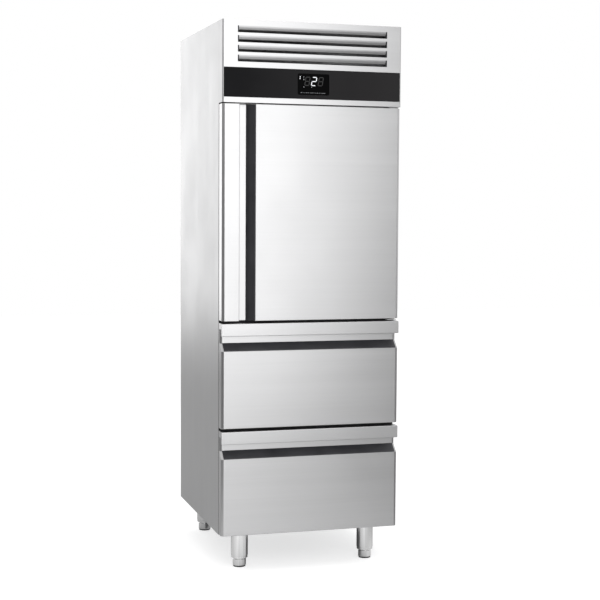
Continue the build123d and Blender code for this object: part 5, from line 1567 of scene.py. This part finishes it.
def makeFloor(setup):
    material = bpy.data.materials.new("paleFloor")
    material.use_nodes = True
    tree = material.node_tree
    tree.nodes.clear()
    rays = addNode(tree, "ShaderNodeLightPath").outputs
    glossy = rays["Is Glossy Ray"]
    clear = maths(tree, "MAXIMUM", rays["Is Camera Ray"], rays["Is Transmission Ray"])
    glow = maths(tree, "MULTIPLY", clear, setup["floorGlow"])
    where = addNode(tree, "ShaderNodeTexCoord").outputs["Object"]
    spot = addNode(tree, "ShaderNodeSeparateXYZ", {0: where}).outputs
    # The steel sees painted light and shade on the floor: a glowing pale patch in front of the cabinet, painted shade
    # on the floor round it, and a painted shadow underneath
    aside = maths(tree, "ABSOLUTE", maths(tree, "SUBTRACT", spot["X"], setup["patchMiddle"]))
    dimAside = mapRange(tree, aside, setup["patchHalf"], setup["patchEnd"])
    dimBehind = mapRange(tree, spot["Y"], setup["near"], setup["far"], last=setup["behind"])
    inside = [
        mapRange(tree, maths(tree, "ABSOLUTE", spot[axis]), reach, reach + setup["edge"], first=1.0, last=0.0)
        for axis, reach in zip("XY", setup["under"])
    ]
    share = maths(tree, "MAXIMUM", maths(tree, "MAXIMUM", dimAside, dimBehind), maths(tree, "MULTIPLY", *inside))
    inMetal = maths(tree, "MULTIPLY", glossy, blendValue(tree, *setup["inMetal"], share))
    shade = maths(tree, "MULTIPLY", glossy, share)
    tone = blendColour(tree, (*setup["floorTone"], 1), (*setup["shadeToneInMetal"], 1), shade)
    total = maths(tree, "ADD", glow, inMetal)
    shine = addNode(tree, "ShaderNodeEmission", {"Color": (1, 1, 1, 1), "Strength": total})
    matt = addNode(tree, "ShaderNodeBsdfDiffuse", {"Color": tone})
    both = addNode(tree, "ShaderNodeAddShader", {0: shine.outputs[0], 1: matt.outputs[0]})
    addNode(tree, "ShaderNodeOutputMaterial", {"Surface": both.outputs[0]})
    reach = setup["floorReach"]
    showStage("floor", [(-reach, -reach, 0), (reach, -reach, 0), (reach, reach, 0), (-reach, reach, 0)], material)


def showStage(name, corners, material):
    mesh = bpy.data.meshes.new(name)
    mesh.from_pydata(corners, [], [(0, 1, 2, 3)])
    mesh.materials.append(material)
    sheetObject = bpy.data.objects.new(name, mesh)
    scene.collection.objects.link(sheetObject)
    return sheetObject


makeSky(studio)
makeFloor(studio)

# Soft lamps: place, what they look at, size and power
lamps = {
    "keyBox": {"place": (-0.13, -4.2, 1.76), "aim": (-0.13, 0, 1.66), "wide": 2.82, "high": 3.36, "power": 49},
    "backLeft": {"place": (-1.3, 3.7, 1.9), "aim": (-0.4, 0, 1.3), "wide": 1.8, "high": 2.8, "power": 21},
    "overhead": {"place": (0.3, -0.6, 4.6), "aim": (0, 0, 1.0), "wide": 2.4, "high": 2.4, "power": 26},
}


def makeLamps(rows):
    for name, row in rows.items():
        data = bpy.data.lights.new(name, "AREA")
        data.shape = "RECTANGLE"
        data.size, data.size_y = row["wide"], row["high"]
        data.energy = row["power"]
        lamp = bpy.data.objects.new(name, data)
        lamp.location = row["place"]
        aim = Vector(row["aim"]) - Vector(row["place"])
        lamp.rotation_euler = aim.to_track_quat("-Z", "Y").to_euler()
        lamp.visible_camera = False
        scene.collection.objects.link(lamp)


makeLamps(lamps)

# Grey cards, out of the camera's sight, that shade the steel's right side and its left folds
cards = {
    "rightCard": [(1.95, -4.4, 0.0), (3.7, -3.0, 0.0), (3.7, -3.0, 2.4), (1.95, -4.4, 2.4)],
    "leftCard": [(-3.0, -3.2, 0.0), (-3.0, -0.6, 0.0), (-3.0, -0.6, 2.2), (-3.0, -3.2, 2.2)],
}


def makeCard(name, corners, tone=0.22, rough=0.9):
    material, _, shader = newMaterial(name)
    shader.inputs["Base Color"].default_value = (tone, tone, tone, 1)
    shader.inputs["Roughness"].default_value = rough
    screen = showStage(name, corners, material)
    screen.visible_camera = False
    screen.visible_shadow = False
    screen.visible_diffuse = False


for cardName, cardCorners in cards.items():
    makeCard(cardName, cardCorners)
scene.view_settings.view_transform = "Standard"

print("stage and lamps ready")
